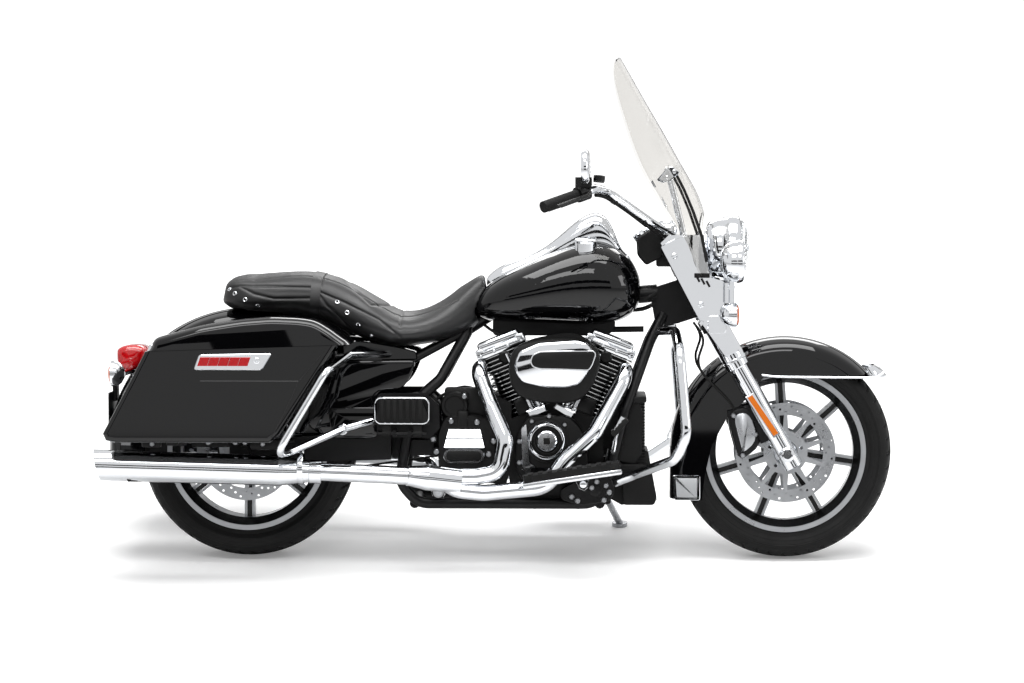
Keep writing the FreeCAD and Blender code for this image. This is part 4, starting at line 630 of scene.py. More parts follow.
lifted = add_node(bolts, "GeometryNodeTransform", {"Geometry": crown.outputs[0],
                                                   "Translation": lift_by.outputs[0]})
whole = add_node(bolts, "GeometryNodeJoinGeometry")
for part in (shank, lifted):
    bolts.links.new(part.outputs[0], whole.inputs[0])
spread = add_node(bolts, "GeometryNodeInstanceOnPoints", {"Points": inside.outputs["Geometry"],
                                                          "Instance": whole.outputs[0],
                                                          "Rotation": aim_way.outputs[0]})
real = add_node(bolts, "GeometryNodeRealizeInstances", {0: spread.outputs[0]})
give_out(bolts, real, inside, outside)


def bolted(name, body, material, radius, height, spots):
    """Sets a bolt head at each (x, y, z) of upright millimetres, facing the way given after it."""
    seed = bpy.data.meshes.new(name + "_places")
    seed.from_pydata([spot for spot, _ in spots], [], [])
    ways = seed.attributes.new("way", "FLOAT_VECTOR", "POINT")
    ways.data.foreach_set("vector", [value for _, facing in spots for value in facing])
    made = grown(name, seed, bolts, {"Radius": radius, "Height": height, "Sides": 12, "Material": material})
    made.data.transform(UPRIGHT)
    return settled(made, body, material)


RIGHT, LEFT = (0, -1, 0), (0, 1, 0)


# Rocker boxes: die castings, polished and chromed. A lower box and a crowned lid sit on each cylinder head,
# held by four bolts.
spots = []
for bank, place in BANKS.items():
    bm = bmesh.new()
    block(bm, (-78, -122, 414), (78, 96, 436), 4)
    block(bm, (-66, -118, 434), (66, 92, 462), 9, None, 3)
    block(bm, (-78, -122, 418), (-50, -80, 446), 6)
    block(bm, (50, -122, 418), (78, -80, 446), 6)
    made = piece(f"{bank}_rocker_box", bm, "chassis", chrome, 35, place)
    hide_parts("rocker_boxes")
    for x in (-66, -22, 22, 66):
        spots.append((tuple(place @ Vector((x, -123.5, 425))), RIGHT))
bolted("rocker_bolts", "chassis", chrome, 5.5, 5, spots)


# Coil tray and front engine mount: a moulded black housing screwed to the frame tube above the heads, and a
# black casting between the crankcase and the down tubes.
bm = bmesh.new()
layered(bm, softened([(742, 672), (1086, 672), (1112, 690), (1112, 728), (742, 728)], 14),
        [(-46, 3), (-42, 0), (42, 0), (46, 3)])
layered(bm, softened([(1060, 330), (1150, 330), (1156, 440), (1112, 540), (1072, 500)], 10),
        [(-52, 3), (-48, 0), (48, 0), (52, 3)])
piece("coil_tray_and_engine_mount", bm, "chassis", powder)


# Air cleaner: a black cast back plate on the right side, under a crowned chromed cover held by one screw.
# A plain black inlay sits in the cover.
air_cover = softened([(812, 600), (826, 634), (884, 660), (1000, 668), (1030, 658), (1052, 626), (1046, 606),
                      (1028, 566), (1004, 534), (966, 524), (900, 526), (836, 540), (816, 566)], 12)
air_back = rounded([(791, 569), (803, 634), (839, 661), (947, 673), (1036, 664), (1068, 628), (1066, 581),
                    (1036, 509), (988, 476), (887, 479), (815, 497)], 2)
air_insert = softened([(862, 604), (868, 622), (888, 631), (948, 633), (1046, 634), (1052, 626), (1042, 596),
                       (1032, 580), (948, 583), (888, 584), (868, 590)], 7)
bm = bmesh.new()
layered(bm, air_back, [(-150, 6), (-158, 0), (-198, 0), (-208, 4), (-212, 12)])
made = piece("air_cleaner_back_plate", bm, "chassis", crinkle)
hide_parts("air_cleaner")
bm = bmesh.new()
layered(bm, air_cover, [(-200, 1), (-222, 0), (-229, 1), (-233, 4), (-235, 8)])
piece("air_cleaner_cover", bm, "chassis", chrome, 50)
bm = bmesh.new()
layered(bm, air_insert, [(-232, 0), (-236.4, 0), (-236.9, 1)])
piece("air_cleaner_inlay", bm, "chassis", crinkle)
bm = bmesh.new()
layered(bm, inset(air_insert, -3), [(-232, 0), (-235.8, 0), (-236.3, 0.6)])
piece("air_cleaner_inlay_rim", bm, "chassis", chrome)


# Cam chest and pushrods: a black enamelled cover on the right of the crankcase, a chromed trim strip round
# its lower edge, and a round chromed lid with six slots over the oil pump. Four chromed tubes climb from it.
CAM_LID = (908, -170, 364)
cam_chest = softened([(835, 240), (1000, 240), (1036, 300), (1015, 395), (975, 438), (850, 438), (815, 380),
                      (810, 290)], 24)
bm = bmesh.new()
layered(bm, cam_chest, [(-100, 0), (-160, 0), (-166, 3), (-168, 9)])
lathe(bm, (908, -160, 364), RIGHT, [(0, 0), (0, 66), (12, 64), (14, 60), (14, 0)], 60)
made = piece("cam_chest_cover", bm, "chassis", crinkle)
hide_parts("engine_covers")
bm = bmesh.new()
trim = [(830, 402), (848, 414), (857, 300), (878, 284), (947, 283), (935, 268), (850, 262), (833, 276)]
layered(bm, softened(trim, 5), [(-160, 0), (-172, 0), (-174.5, 2)])
lathe(bm, CAM_LID, RIGHT, [(0, 57.5), (12, 57), (19, 53), (21, 49), (21, 46), (12, 44), (0, 44)], 72, True)
lathe(bm, CAM_LID, RIGHT, [(0, 0), (0, 31), (17, 30), (20, 26), (20, 0)], 48)
piece("cam_cover_trim_and_lid", bm, "chassis", chrome)
bm = bmesh.new()
lathe(bm, CAM_LID, RIGHT,
      [(0, 31), (9, 31), (9, 37), (14, 37.5), (14, 40.5), (9, 41), (9, 44), (0, 44)], 60, True)
for index in range(6):
    turns = [math.radians(60 * index + 2 + 4 * k) for k in range(9)]
    arc = [(CAM_LID[0] + r * math.cos(angle), CAM_LID[2] + r * math.sin(angle))
           for r, angles in ((51.5, turns), (48.2, turns[::-1])) for angle in angles]
    layered(bm, arc, [(-184, 0), (-191.6, 0)])
lathe(bm, (908, -189, 364), RIGHT, [(0, 0), (0, 14), (1.8, 13.4), (1.8, 0)], 4)
piece("cam_lid_slots", bm, "chassis", crinkle)
bm = bmesh.new()
for outline in ([(845, 449), (857, 428), (908, 449), (899, 467)],
                [(926, 458), (937, 472), (993, 446), (979, 425)]):
    layered(bm, outline, [(-96, 0), (-128, 0), (-131, 3)])
for low, high in (((868, 446), (786, 622)), ((892, 452), (812, 622)), ((958, 452), (1040, 622)),
                  ((982, 446), (1064, 622))):
    start = Vector((low[0], -117, low[1]))
    way = Vector((high[0], -117, high[1])) - start
    reach = way.length
    lathe(bm, start, way, [(0, 0), (0, 13), (8, 13.5), (16, 12), (18, 9.4), (60, 9.4), (61, 11), (70, 11),
                           (71, 8.2), (reach, 8.2), (reach, 0)], 24)
made = piece("tappet_blocks_and_pushrod_tubes", bm, "chassis", chrome)
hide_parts("pushrod_tubes")
cam_bolts = [(863, 422), (914, 437), (961, 412), (825, 361), (825, 298), (1008, 330), (990, 262)]
bolted("cam_cover_bolts", "chassis", steel, 7, 7,
       [((x, -168, z), RIGHT) for x, z in cam_bolts])


# Gearbox: a black cast housing behind the engine. On its right side sit a stepped chromed top cover and a
# bright oval frame round a plain black inlay.
bm = bmesh.new()
layered(bm, softened([(585, 255), (752, 255), (760, 420), (690, 440), (600, 436), (578, 380)], 20),
        [(-100, 0), (-148, 0), (-156, 5)])
layered(bm, softened([(470, 380), (590, 352), (590, 470), (560, 505), (490, 500), (462, 450)], 18),
        [(-60, 0), (-128, 0), (-134, 5)])
lathe(bm, (631, -90, 467), RIGHT, [(0, 0), (0, 42), (56, 42), (62, 38), (62, 30), (58, 28), (58, 0)], 48)
block(bm, (600, -130, 430), (720, -90, 520), 8)
block(bm, (640, -160, 396), (672, -120, 452), 6)
bosses = [(621, 422), (699, 418), (568, 367), (577, 329), (734, 322), (748, 361), (661, 495), (488, 355)]
for x, z in bosses[:-1]:
    lathe(bm, (x, -110, z), RIGHT, [(0, 0), (0, 14), (48, 12), (48, 0)], 20)
lathe(bm, (488, -110, 355), RIGHT, [(0, 0), (0, 13), (26, 11), (26, 0)], 20)
piece("gearbox_right_side", bm, "chassis", crinkle)
bm = bmesh.new()
for low, high, front, back in ((343, 367, 177, 167), (371, 396, 167, 156)):
    reach = 60 - 0.25 * (low - 343)
    corners = [bm.verts.new((661 + x, -y, z)) for z, y, r in ((low, front, reach), (high, back, reach - 6))
               for x, y in ((-r, y), (r, y), (r, 140), (-r, 140))]
    for face in ((0, 1, 2, 3), (4, 5, 6, 7), (0, 1, 5, 4), (1, 2, 6, 5), (2, 3, 7, 6), (3, 0, 4, 7)):
        bm.faces.new([corners[k] for k in face])
oval = [(660 + x, 318 + z) for x, z in fin_outline(62, -24, 24, 22)]
layered(bm, oval, [(-146, 0), (-170, 0), (-175, 3)])
piece("gearbox_top_cover", bm, "chassis", chrome)
bm = bmesh.new()
layered(bm, inset(oval, 9), [(-160, 0), (-176.4, 0), (-177, 1)])
piece("gearbox_inlay", bm, "chassis", crinkle)
bolted("gearbox_bolts", "chassis", steel, 8.5, 6,
       [((x, -160, z), RIGHT) for x, z in bosses[:-1]] + [((488, -138, 355), RIGHT)])


# Primary cover: the long chromed casting on the left that holds the chain from the engine to the gearbox,
# with a round clutch lid of five screws and an oval lid over the alternator.
rim_points = [Vector((x + r * math.cos(math.radians(a)), z + r * math.sin(math.radians(a))))
              for x, z, r in ((925, 290, 98), (696, 338, 90)) for a in range(0, 360, 8)]
hull = [tuple(rim_points[index]) for index in geometry.convex_hull_2d(rim_points)]
bm = bmesh.new()
layered(bm, hull, [(100, 0), (186, 0), (198, 3), (206, 9), (210, 18), (212, 30)])
lathe(bm, (696, 206, 338), LEFT, [(0, 0), (0, 66), (7, 65), (10, 61), (10, 40), (12, 36), (12, 0)], 60)
layered(bm, [(925 + x, 290 + z) for x, z in fin_outline(62, -40, 40, 34)], [(205, 0), (214, 0), (217, 3)])
piece("primary_cover", bm, "chassis", chrome)
lid_screws = [Vector((696, 217, 338)) + 56 * spoke_way(math.radians(72 * k + 18)) for k in range(5)]
bolted("primary_cover_bolts", "chassis", steel, 5.5, 5,
       [(tuple(spot), LEFT) for spot in lid_screws]
       + [((x, 207, z), LEFT) for x, z in ((1005, 290), (960, 222), (970, 356), (820, 236), (800, 390),
                                           (650, 268), (624, 376))])


# Exhaust: chromed heat shields over the steel headers, joined to the mufflers under narrow clamps. Each
# slash-cut tip is lined with soot, and a baffle with its small outlet pipe closes it.
MUFFLER_Y, MUFFLER_Z = 290, 291
soot, shader = coated("sooted_pipe_inside", "0A0909", 0.85, Specular_IOR_Level=0.2)
grained(soot, shader, 2.0, 0.1, 0.05)
bm = bmesh.new()
for side in (-1, 1):
    lathe(bm, (176, side * MUFFLER_Y, MUFFLER_Z), (1, 0, 0),
          [(0, 44), (0, 47), (2, 48), (14, 48), (16, 47), (16, 44)], 64, True)
    block(bm, (174, side * MUFFLER_Y - 7, 334), (194, side * MUFFLER_Y + 7, 350), 3)
    lathe(bm, (184, side * MUFFLER_Y - 14, 343), (0, 1, 0), [(0, 0), (0, 6), (28, 6), (28, 0)], 12)
piece("muffler_clamps", bm, "chassis", chrome)
bm = bmesh.new()
for side in (-1, 1):
    for x, profile, steps in ((-328, [(0, 40.6), (0, 41.9), (60, 41.9), (60, 40.6)], 64),
                              (-296, [(0, 22), (0, 40), (-5, 41.6), (4, 41.6), (4, 22)], 64),
                              (-318, [(0, 22), (0, 24), (30, 24), (30, 22)], 40)):
        lathe(bm, (x, side * MUFFLER_Y, MUFFLER_Z), (1, 0, 0), profile, steps, True)
piece("muffler_tip_linings", bm, "chassis", soot)


# Seat: foam on a moulded pan, covered in black grained vinyl. The cover is blown up a little from inside,
# as foam fills it, and evened out as the foam's skin does. Its sewn seams are pressed in afterwards, and a
# strap crosses it for the passenger.
leather, shader = coated("black_grained_seat_vinyl", "0C0C0D", 0.44, Specular_IOR_Level=0.42)
place = add_node(leather.node_tree, "ShaderNodeTexCoord")
pores = add_node(leather.node_tree, "ShaderNodeTexVoronoi",
                 {"Vector": place.outputs["Object"], "Scale": 420.0})
folds = add_node(leather.node_tree, "ShaderNodeTexNoise", {"Vector": place.outputs["Object"], "Scale": 9.0,
                                                           "Detail": 3.0})
fine = add_node(leather.node_tree, "ShaderNodeBump",
                {"Height": pores.outputs["Distance"], "Distance": 0.00022, "Strength": 0.8})
broad = add_node(leather.node_tree, "ShaderNodeBump", {"Height": folds.outputs[0], "Distance": 0.004,
                                                       "Strength": 0.35, "Normal": fine.outputs[0]})
leather.node_tree.links.new(broad.outputs[0], shader.inputs["Normal"])
worn = add_node(leather.node_tree, "ShaderNodeMapRange", {"Value": folds.outputs[0], "From Min": 0.3,
                                                          "From Max": 0.7, "To Min": 0.36, "To Max": 0.52})
leather.node_tree.links.new(worn.outputs[0], shader.inputs["Roughness"])


def evaluated_mesh(made):
    """A piece's mesh with its modifiers worked in, and the modifiers taken off."""
    graph = bpy.context.evaluated_depsgraph_get()
    result = bpy.data.meshes.new_from_object(made.evaluated_get(graph))
    made.modifiers.clear()
    made.data = result
    return result


def rows(items, name):
    """One vector of each item of a mesh, as the rows of an array."""
    values = np.empty(len(items) * 3)
    items.foreach_get(name, values)
    return values.reshape(-1, 3)


def ramp(values, start, length):
    """Rises from 0 at a start to 1 after a length."""
    return np.clip((values - start) / length, 0, 1)


def groove(gap, width):
    """Falls off from 1 on a line to 0 beside it."""
    return np.exp(-(gap / width) ** 2)


bm = bmesh.new()
bm.from_mesh(frame["nodes"]["seat"].data)
bmesh.ops.remove_doubles(bm, verts=bm.verts, dist=0.0001)
seat_mesh = bpy.data.meshes.new("seat_cushion")
bm.to_mesh(seat_mesh)
bm.free()
seat_mesh.transform(STANCE.inverted())
seat = placed("seat_cushion", seat_mesh)
remesh = seat.modifiers.new("remesh", "REMESH")
remesh.mode = "VOXEL"
remesh.voxel_size = 0.006
evaluated_mesh(seat)
points, outward = rows(seat.data.vertices, "co"), rows(seat.data.vertex_normals, "vector")
free = ramp(outward[:, 2], -0.35, 0.5) * np.maximum(ramp(points[:, 2], 0.665, 0.03), 0.15)
points -= outward * (0.006 * free)[:, None]
seat.data.vertices.foreach_set("co", points.ravel())
MOST_SWELL = 0.012
SMOOTHINGS = 80
held = seat.vertex_groups.new(name="pan")
for index in np.nonzero(free < 0.5)[0]:
    held.add([int(index)], 1.0, "REPLACE")
cloth = seat.modifiers.new("foam", "CLOTH")
cloth.settings.use_pressure = True
cloth.settings.uniform_pressure_force = 4
cloth.settings.effector_weights.gravity = 0
cloth.settings.vertex_group_mass = "pan"
for number in range(1, 21):
    bpy.context.scene.frame_set(number)
moved = rows(evaluated_mesh(seat).vertices, "co") - points
pairs = np.empty(2 * len(seat.data.edges), np.int64)
seat.data.edges.foreach_get("vertices", pairs)
one, two = pairs[::2], pairs[1::2]
beside = np.bincount(pairs, minlength=len(points))
for _ in range(SMOOTHINGS):
    for axis in range(3):
        lift = moved[:, axis]
        around = np.bincount(one, lift[two], len(points)) + np.bincount(two, lift[one], len(points))
        moved[:, axis] = around / beside
length = np.maximum(np.linalg.norm(moved, axis=1), 1e-9)
points = points + moved * (np.minimum(length, MOST_SWELL) / length)[:, None]
seat.data.vertices.foreach_set("co", points.ravel())
bpy.context.scene.frame_set(1)
finer = seat.modifiers.new("finer", "SUBSURF")
finer.levels = finer.render_levels = 1
evaluated_mesh(seat)

SEAMS = [[(-60, 815), (-15, 824), (60, 824), (198, 820), (222, 809), (304, 774), (404, 726), (468, 674)],
         [(-15, 822), (30, 800), (90, 786), (200, 788)],
         [(227, 797), (250, 765), (280, 738), (322, 684), (350, 660)],
         [(280, 850), (330, 812), (380, 768), (432, 762)]]
SEAM_WIDTH, CHANNEL_Y = 3.2, 96.0
points, outward = rows(seat.data.vertices, "co") / MM, rows(seat.data.vertex_normals, "vector")
tail_share = ramp(-points[:, 0], -30, 70) * ramp(points[:, 2], 775, 30)
points[:, 2] += 11 * tail_share * (1 - (points[:, 1] / 170) ** 2 * 0.4)
nearest = np.full(len(points), 1e6)
for seam_line in SEAMS:
    for (ax, az), (bx, bz) in zip(seam_line, seam_line[1:]):
        run = np.array([bx - ax, bz - az], float)
        along = ramp((points[:, 0] - ax) * run[0] + (points[:, 2] - az) * run[1], 0, run @ run)
        gap = np.hypot(points[:, 0] - ax - along * run[0], points[:, 2] - az - along * run[1])
        nearest = np.minimum(nearest, gap)
side_share = ramp(np.abs(outward[:, 1]), 0.25, 0.3)
press = 0.5 * groove(nearest - 10, 6.0) - 3.4 * groove(nearest, SEAM_WIDTH)
top = ramp(outward[:, 2], 0.6, 0.2) * (points[:, 0] > -30) * (points[:, 0] < 640)
press -= top * 2.6 * groove(np.abs(points[:, 1]) - CHANNEL_Y, SEAM_WIDTH)
for x in (232, 470):
    press -= ramp(outward[:, 2], 0.4, 0.3) * 3 * groove(points[:, 0] - x, 3.6)
points += outward * (press * np.maximum(side_share, outward[:, 2] > 0.4))[:, None]
seat.data.vertices.foreach_set("co", (points * MM).ravel())
skin = BVHTree.FromPolygons([tuple(point) for point in points],
                            [tuple(face.vertices) for face in seat.data.polygons])
seat.data.transform(STANCE)
settled(seat, "chassis", leather, 60)
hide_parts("seat")

bm = bmesh.new()
rings = []
for degrees in range(-58, 239, 6):
    angle = math.radians(degrees)
    ray = Vector((0, math.cos(angle), math.sin(angle)))
    rear, front = (skin.ray_cast(Vector((206 + edge + 0.13 * (60 + 60 * ray.z), 0, 790)), ray)[0]
                   for edge in (-15, 15))
    if rear and front:
        rings.append([bm.verts.new(spot + ray * height)
                      for spot, height in ((rear, -3), (rear, 3), (front, 3), (front, -3))])
skinned(bm, rings)
piece("passenger_strap", bm, "chassis", leather, 40)
bm = bmesh.new()
for x, z in ((-48, 813), (-30, 801), (3, 783), (41, 765), (83, 742), (280, 777), (310, 745), (343, 709),
             (382, 676)):
    for side in (-1, 1):
        hit, normal, _, _ = skin.ray_cast(Vector((x, side * 400, z)), Vector((0, -side, 0)))
        if hit:
            lathe(bm, hit, normal, [(-1.5, 3.4), (-1.5, 7), (1.4, 6.8), (2.4, 5.4), (2.0, 4.0), (0, 3.4)],
                  20, True)
piece("seat_grommets", bm, "chassis", chrome, 50)


# Side covers: two moulded panels in gloss black below the seat, pushed onto rubber grommets, each with a
# lower apron over the battery tray and the swingarm's pivot. Further in, a panel closes the gap under the
# seat's edge and another the one behind the bag guard.
cover = softened([(190, 600), (520, 604), (498, 548), (470, 511), (404, 509), (404, 380), (390, 368),
                  (262, 366), (190, 404), (196, 470)], 22)
apron = softened([(253, 462), (398, 462), (398, 385), (385, 374), (300, 374), (262, 392)], 12)
skirt = softened([(300, 600), (292, 664), (380, 656), (470, 640), (516, 628), (520, 604)], 8)
strut = softened([(118, 380), (232, 380), (236, 470), (226, 524), (166, 524)], 10)
bm = bmesh.new()
for side in (-1, 1):
    layered(bm, cover, [(side * 146, 1), (side * 164, 0), (side * 169, 2), (side * 171, 7)])
    layered(bm, apron, [(side * 160, 0), (side * 171, 0), (side * 173, 5)])
    layered(bm, skirt, [(side * 104, 2), (side * 107, 0), (side * 136, 0), (side * 140, 3)])
    layered(bm, strut, [(side * 112, 2), (side * 115, 0), (side * 137, 0), (side * 140, 3)])
made = piece("side_cover_panels", bm, "chassis", gloss)
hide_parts("side_covers")


# Saddlebags: two moulded hard cases in gloss black, under hollow lids that end at the parting line. The
# outer face has two pressed lines, and a chromed latch plate with a lock and a red reflector of five cells.
def celled(material, shader):
    """Moulds the small cube corners of a reflector's back into its face, 2.6 mm apart."""
    tree = material.node_tree
    place = add_node(tree, "ShaderNodeTexCoord")
    cells = add_node(tree, "ShaderNodeTexVoronoi", {"Vector": place.outputs["Object"], "Scale": 380.0},
                     distance="CHEBYCHEV")
    bump = add_node(tree, "ShaderNodeBump", {"Height": cells.outputs["Distance"], "Distance": 0.0008,
                                             "Strength": 0.6})
    tree.links.new(bump.outputs[0], shader.inputs["Normal"])


reflector, shader = coated("red_reflector_plastic", "A0060E", 0.2, Specular_IOR_Level=0.2, Coat_Weight=0.35,
                           Coat_Roughness=0.04)
celled(reflector, shader)


def sweep(bm, line, radius, sides=12):
    """A tube of one radius along a line of points, its ends closed."""
    line = [Vector(point) for point in line]
    rings, up = [], None
    for index, here in enumerate(line):
        way = (line[min(index + 1, len(line) - 1)] - line[max(index - 1, 0)]).normalized()
        up = way.orthogonal() if up is None else up - way * up.dot(way)
        up.normalize()
        rings.append(circle(bm, here, up, way.cross(up), radius, sides))
    skinned(bm, rings)


def flowing(line, steps=6):
    """A smooth line through the given points."""
    line = [Vector(point) for point in line]
    smooth = []
    for index in range(len(line) - 1):
        a, b = line[max(index - 1, 0)], line[index]
        c, d = line[index + 1], line[min(index + 2, len(line) - 1)]
        for k in range(steps):
            t = k / steps
            smooth.append(0.5 * ((2 * b) + (c - a) * t + (2 * a - 5 * b + 4 * c - d) * t ** 2
                                 + (3 * b - a - 3 * c + d) * t ** 3))
    return smooth + [line[-1]]


def seam(x):
    """Height of the bag's parting line."""
    return 651 + (x - 8) * 0.034


def moulded_lid(bm, outline, side, layers, wall):
    """A hollow lid: an outer and an inner shell of rings that stop at the parting line, joined along it."""
    middle = (layers[0][0] + layers[-1][0]) / 2
    shells = [[[bm.verts.new((x, side * (y - math.copysign(extra, y - middle)), max(z, seam(x))))
                for x, z in inset(outline, by + extra)] for y, by in layers] for extra in (0, wall)]
    for shell in shells:
        for here, there in zip(shell, shell[1:]):
            for index in range(len(here)):
                corners = (here[index], here[index - 1], there[index - 1], there[index])
                if any(vert.co.z > seam(vert.co.x) + 0.01 for vert in corners):
                    bm.faces.new(corners)
        bm.faces.new(shell[0])
        bm.faces.new(shell[-1])
    outer, inner = ([vert for ring in shell for vert in ring] for shell in shells)
    partner = dict(zip(outer, inner))
    for edge in [edge for edge in bm.edges if len(edge.link_faces) == 1 and edge.verts[0] in partner]:
        one, two = edge.verts
        bm.faces.new((one, two, partner[two], partner[one]))


lid_line = softened([(-252, 560), (347, 560), (343, 664), (311, 684), (282, 706), (238, 732), (190, 739),
                     (108, 742), (20, 735), (-96, 716), (-238, 678)], 22)
lid_depths = [(197, 4), (200, 1), (206, 0), (384, 0), (396, 1), (406, 3), (414, 6.5), (420, 11), (423.5, 16),
              (425, 22)]
LID_WALL = 4
SIDES = ((-1, "right"), (1, "left"))
for side, name in SIDES:
    bm = bmesh.new()
    moulded_lid(bm, lid_line, side, lid_depths, LID_WALL)
    lid = piece(f"moulded_lid_{name}", bm, f"lid_{name}", gloss, 40)
    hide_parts(f"saddlebag_lid_{name}")
    bm = bmesh.new()
    face = side * 424.6
    sweep(bm, flowing([(256, face, 632), (224, face, 594), (191, face, 556)], 3), 1.5, 8)
    sweep(bm, [(191, face, 556), (150, face, 466), (112, face, 392)], 1.5, 8)
    sweep(bm, [(-96, side * 424.8, 556), (191, face, 556)], 1.0, 8)
    piece(f"bag_pressed_lines_{name}", bm, "chassis", gloss)
    bm = bmesh.new()
    plate = softened([(-114, 589), (85, 588), (114, 637), (-98, 633)], 9)
    layered(bm, plate, [(side * 422, 0), (side * 430, 0), (side * 432, 2)])
    lathe(bm, (70, side * 428, 616), (0, side, 0),
          [(0, 0), (0, 9.5), (6, 9), (7.5, 7), (7.5, 3), (5, 2), (5, 0)], 28)
    made = piece(f"bag_latch_plate_{name}", bm, "chassis", chrome)
    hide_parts("latch_plates")
    bm = bmesh.new()
    for cell in range(5):
        low_x = -103 + 29.4 * cell
        high_x = low_x + 28.8
        layered(bm, [(low_x, 600), (high_x, 600), (high_x + 9, 626), (low_x + 9, 626)],
                [(side * 426, 0), (side * 433, 0), (side * 434.4, 1.6)])
    piece(f"bag_reflector_{name}", bm, "chassis", reflector)
bm = bmesh.new()
for side in (-1, 1):
    for low, high in (((-286, 262, 352), (-232, 300, 374)), ((-214, 250, 356), (-160, 292, 376)),
                      ((-142, 236, 350), (-30, 268, 366)), ((34, 240, 344), (120, 280, 374))):
        ys = sorted((side * low[1], side * high[1]))
        block(bm, (low[0], ys[0], low[2]), (high[0], ys[1], high[2]), 3)
    for x in (-255, -185, -88, -8, 20):
        lathe(bm, (x, side * 262, 366), (0, side, 0), [(0, 0), (0, 9), (44, 8), (44, 0)], 20)
    sweep(bm, [(-300, side * 252, 369), (160, side * 252, 369)], 6)
piece("bag_mount_rails", bm, "chassis", powder)
bolted("bag_mount_bolts", "chassis", steel, 7, 5,
       [((x, side * y, z), (0, side, 0)) for side in (-1, 1)
        for x, y, z in ((-255, 303, 362), (-88, 306, 366), (-8, 306, 366), (70, 282, 360), (20, 306, 366))])


# Rear lamps: a red moulded tail lamp on a chromed base bolted to the fender, and a pair of chromed cups
# with amber lenses on a bar, for turning. The lenses are moulded with a faint pebbled grain.
red_lens, shader = coated("red_tail_lamp_lens", "B4060E", 0.1, Transmission_Weight=0.15, IOR=1.49,
                          Coat_Weight=0.5, Coat_Roughness=0.02)
grained(red_lens, shader, 5.0, 0.05)
amber_lens, shader = coated("amber_lamp_lens", "E2660E", 0.08, Transmission_Weight=0.3, IOR=1.49,
                            Coat_Weight=1.0, Coat_Roughness=0.02)
grained(amber_lens, shader, 5.0, 0.08)
bm = bmesh.new()
lens = rounded([(-392, 566), (-398, 600), (-396, 640), (-312, 644), (-310, 600), (-340, 566)], 2)
layered(bm, lens, [(-70, 16), (-66, 6), (-54, 0), (54, 0), (66, 6), (70, 16)])
piece("tail_lamp_lens", bm, "chassis", red_lens, 45)
bm = bmesh.new()
base = rounded([(-352, 552), (-400, 560), (-398, 572), (-322, 572), (-300, 648), (-286, 640), (-312, 556)], 1)
layered(bm, base, [(-60, 2), (-56, 0), (56, 0), (60, 2)])
sweep(bm, [(-352, -236, 566), (-352, 236, 566)], 9)
for side in (-1, 1):
    lathe(bm, (-350, side * 228, 566), (-1, 0, 0), [(-6, 0), (-2, 14), (6, 28), (16, 36), (30, 38), (36, 38),
                                                   (36, 34.5), (30, 0)], 40)
made = piece("tail_lamp_base_and_signal_cups", bm, "chassis", chrome, 45)
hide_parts("rear_lamps")
bm = bmesh.new()
for side in (-1, 1):
    lathe(bm, (-382, side * 228, 566), (-1, 0, 0),
          [(0, 0), (0, 34.6), (5, 34), (9, 29), (12, 18), (13, 0)], 40)
piece("rear_signal_lenses", bm, "chassis", amber_lens, 50)


# Plate bracket: a bent steel sheet in black, bolted to the fender below the tail lamp. Four screws sit
# ready in its corners.
bm = bmesh.new()
block(bm, (-419, -92, 392), (-415, 92, 500), 1.6)
block(bm, (-416, -30, 470), (-404, 30, 560), 3)
for y in (-70, 70):
    for z in (408, 484):
        lathe(bm, (-418, y, z), (-1, 0, 0), [(0, 0), (0, 6), (3, 5.4), (4, 3), (4, 0)], 16)
made = piece("number_plate_bracket", bm, "chassis", powder)
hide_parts("plate_bracket")


# Shock absorbers: chromed upper covers over black bodies, one each side, with a wound steel spring that
# shows between them.
COILS = 8
bm = bmesh.new()
for side in (-1, 1):
    foot, head = Vector((24, side * 160, 392)), Vector((100, side * 160, 560))
    way = (head - foot).normalized()
    out = Vector((0, side, 0))
    other = way.cross(out)
    coil = []
    for k in range(COILS * 16 + 1):
        angle = 2 * math.pi * k / 16
        coil.append(foot + way * (26 + 110 * k / (COILS * 16))
                    + (out * math.cos(angle) + other * math.sin(angle)) * 27)
    sweep(bm, coil, 4, 8)
piece("shock_springs", bm, "chassis", gloss)


# Bag guard clamps: small chromed forgings, bolted where each guard's tube meets the frame and the side
# cover.
bm = bmesh.new()
for side in (-1, 1):
    for x, y, z in ((440, 128, 620), (396, 160, 424), (300, 216, 400)):
        lathe(bm, (x, side * (y - 8), z), (0, side, 0), [(0, 0), (0, 17), (10, 17), (14, 13), (14, 0)], 24)
piece("bag_guard_clamps", bm, "chassis", chrome)


# Passenger steps: short pads of moulded rubber with seven ribs and a chromed edge. Each folds up against
# its side cover on a pin.
rubber, shader = coated("moulded_black_rubber", "0A0A0A", 0.7, Specular_IOR_Level=0.22)
grained(rubber, shader, 1.5, 0.08, 0.1)
finish(rubber, "hand_grips", "drive_belt", "rider_board_left", "rider_board_right", "passenger_step_left",
       "passenger_step_right")
for side, name in SIDES:
    rim = [(478 + x, 456 + z) for x, z in fin_outline(80, -38, 38, 18)]
    bm = bmesh.new()
    sweep(bm, [(x, side * 223, z) for x, z in rim + rim[:2]], 2.4, 10)
    piece(f"step_edge_{name}", bm, f"step_{name}", chrome)
    bm = bmesh.new()
    for index in range(7):
        block(bm, (412 + 19 * index, side * 225 - 2, 426), (424 + 19 * index, side * 225 + 2, 488), 1.4)
    piece(f"step_rubber_ribs_{name}", bm, f"step_{name}", rubber)


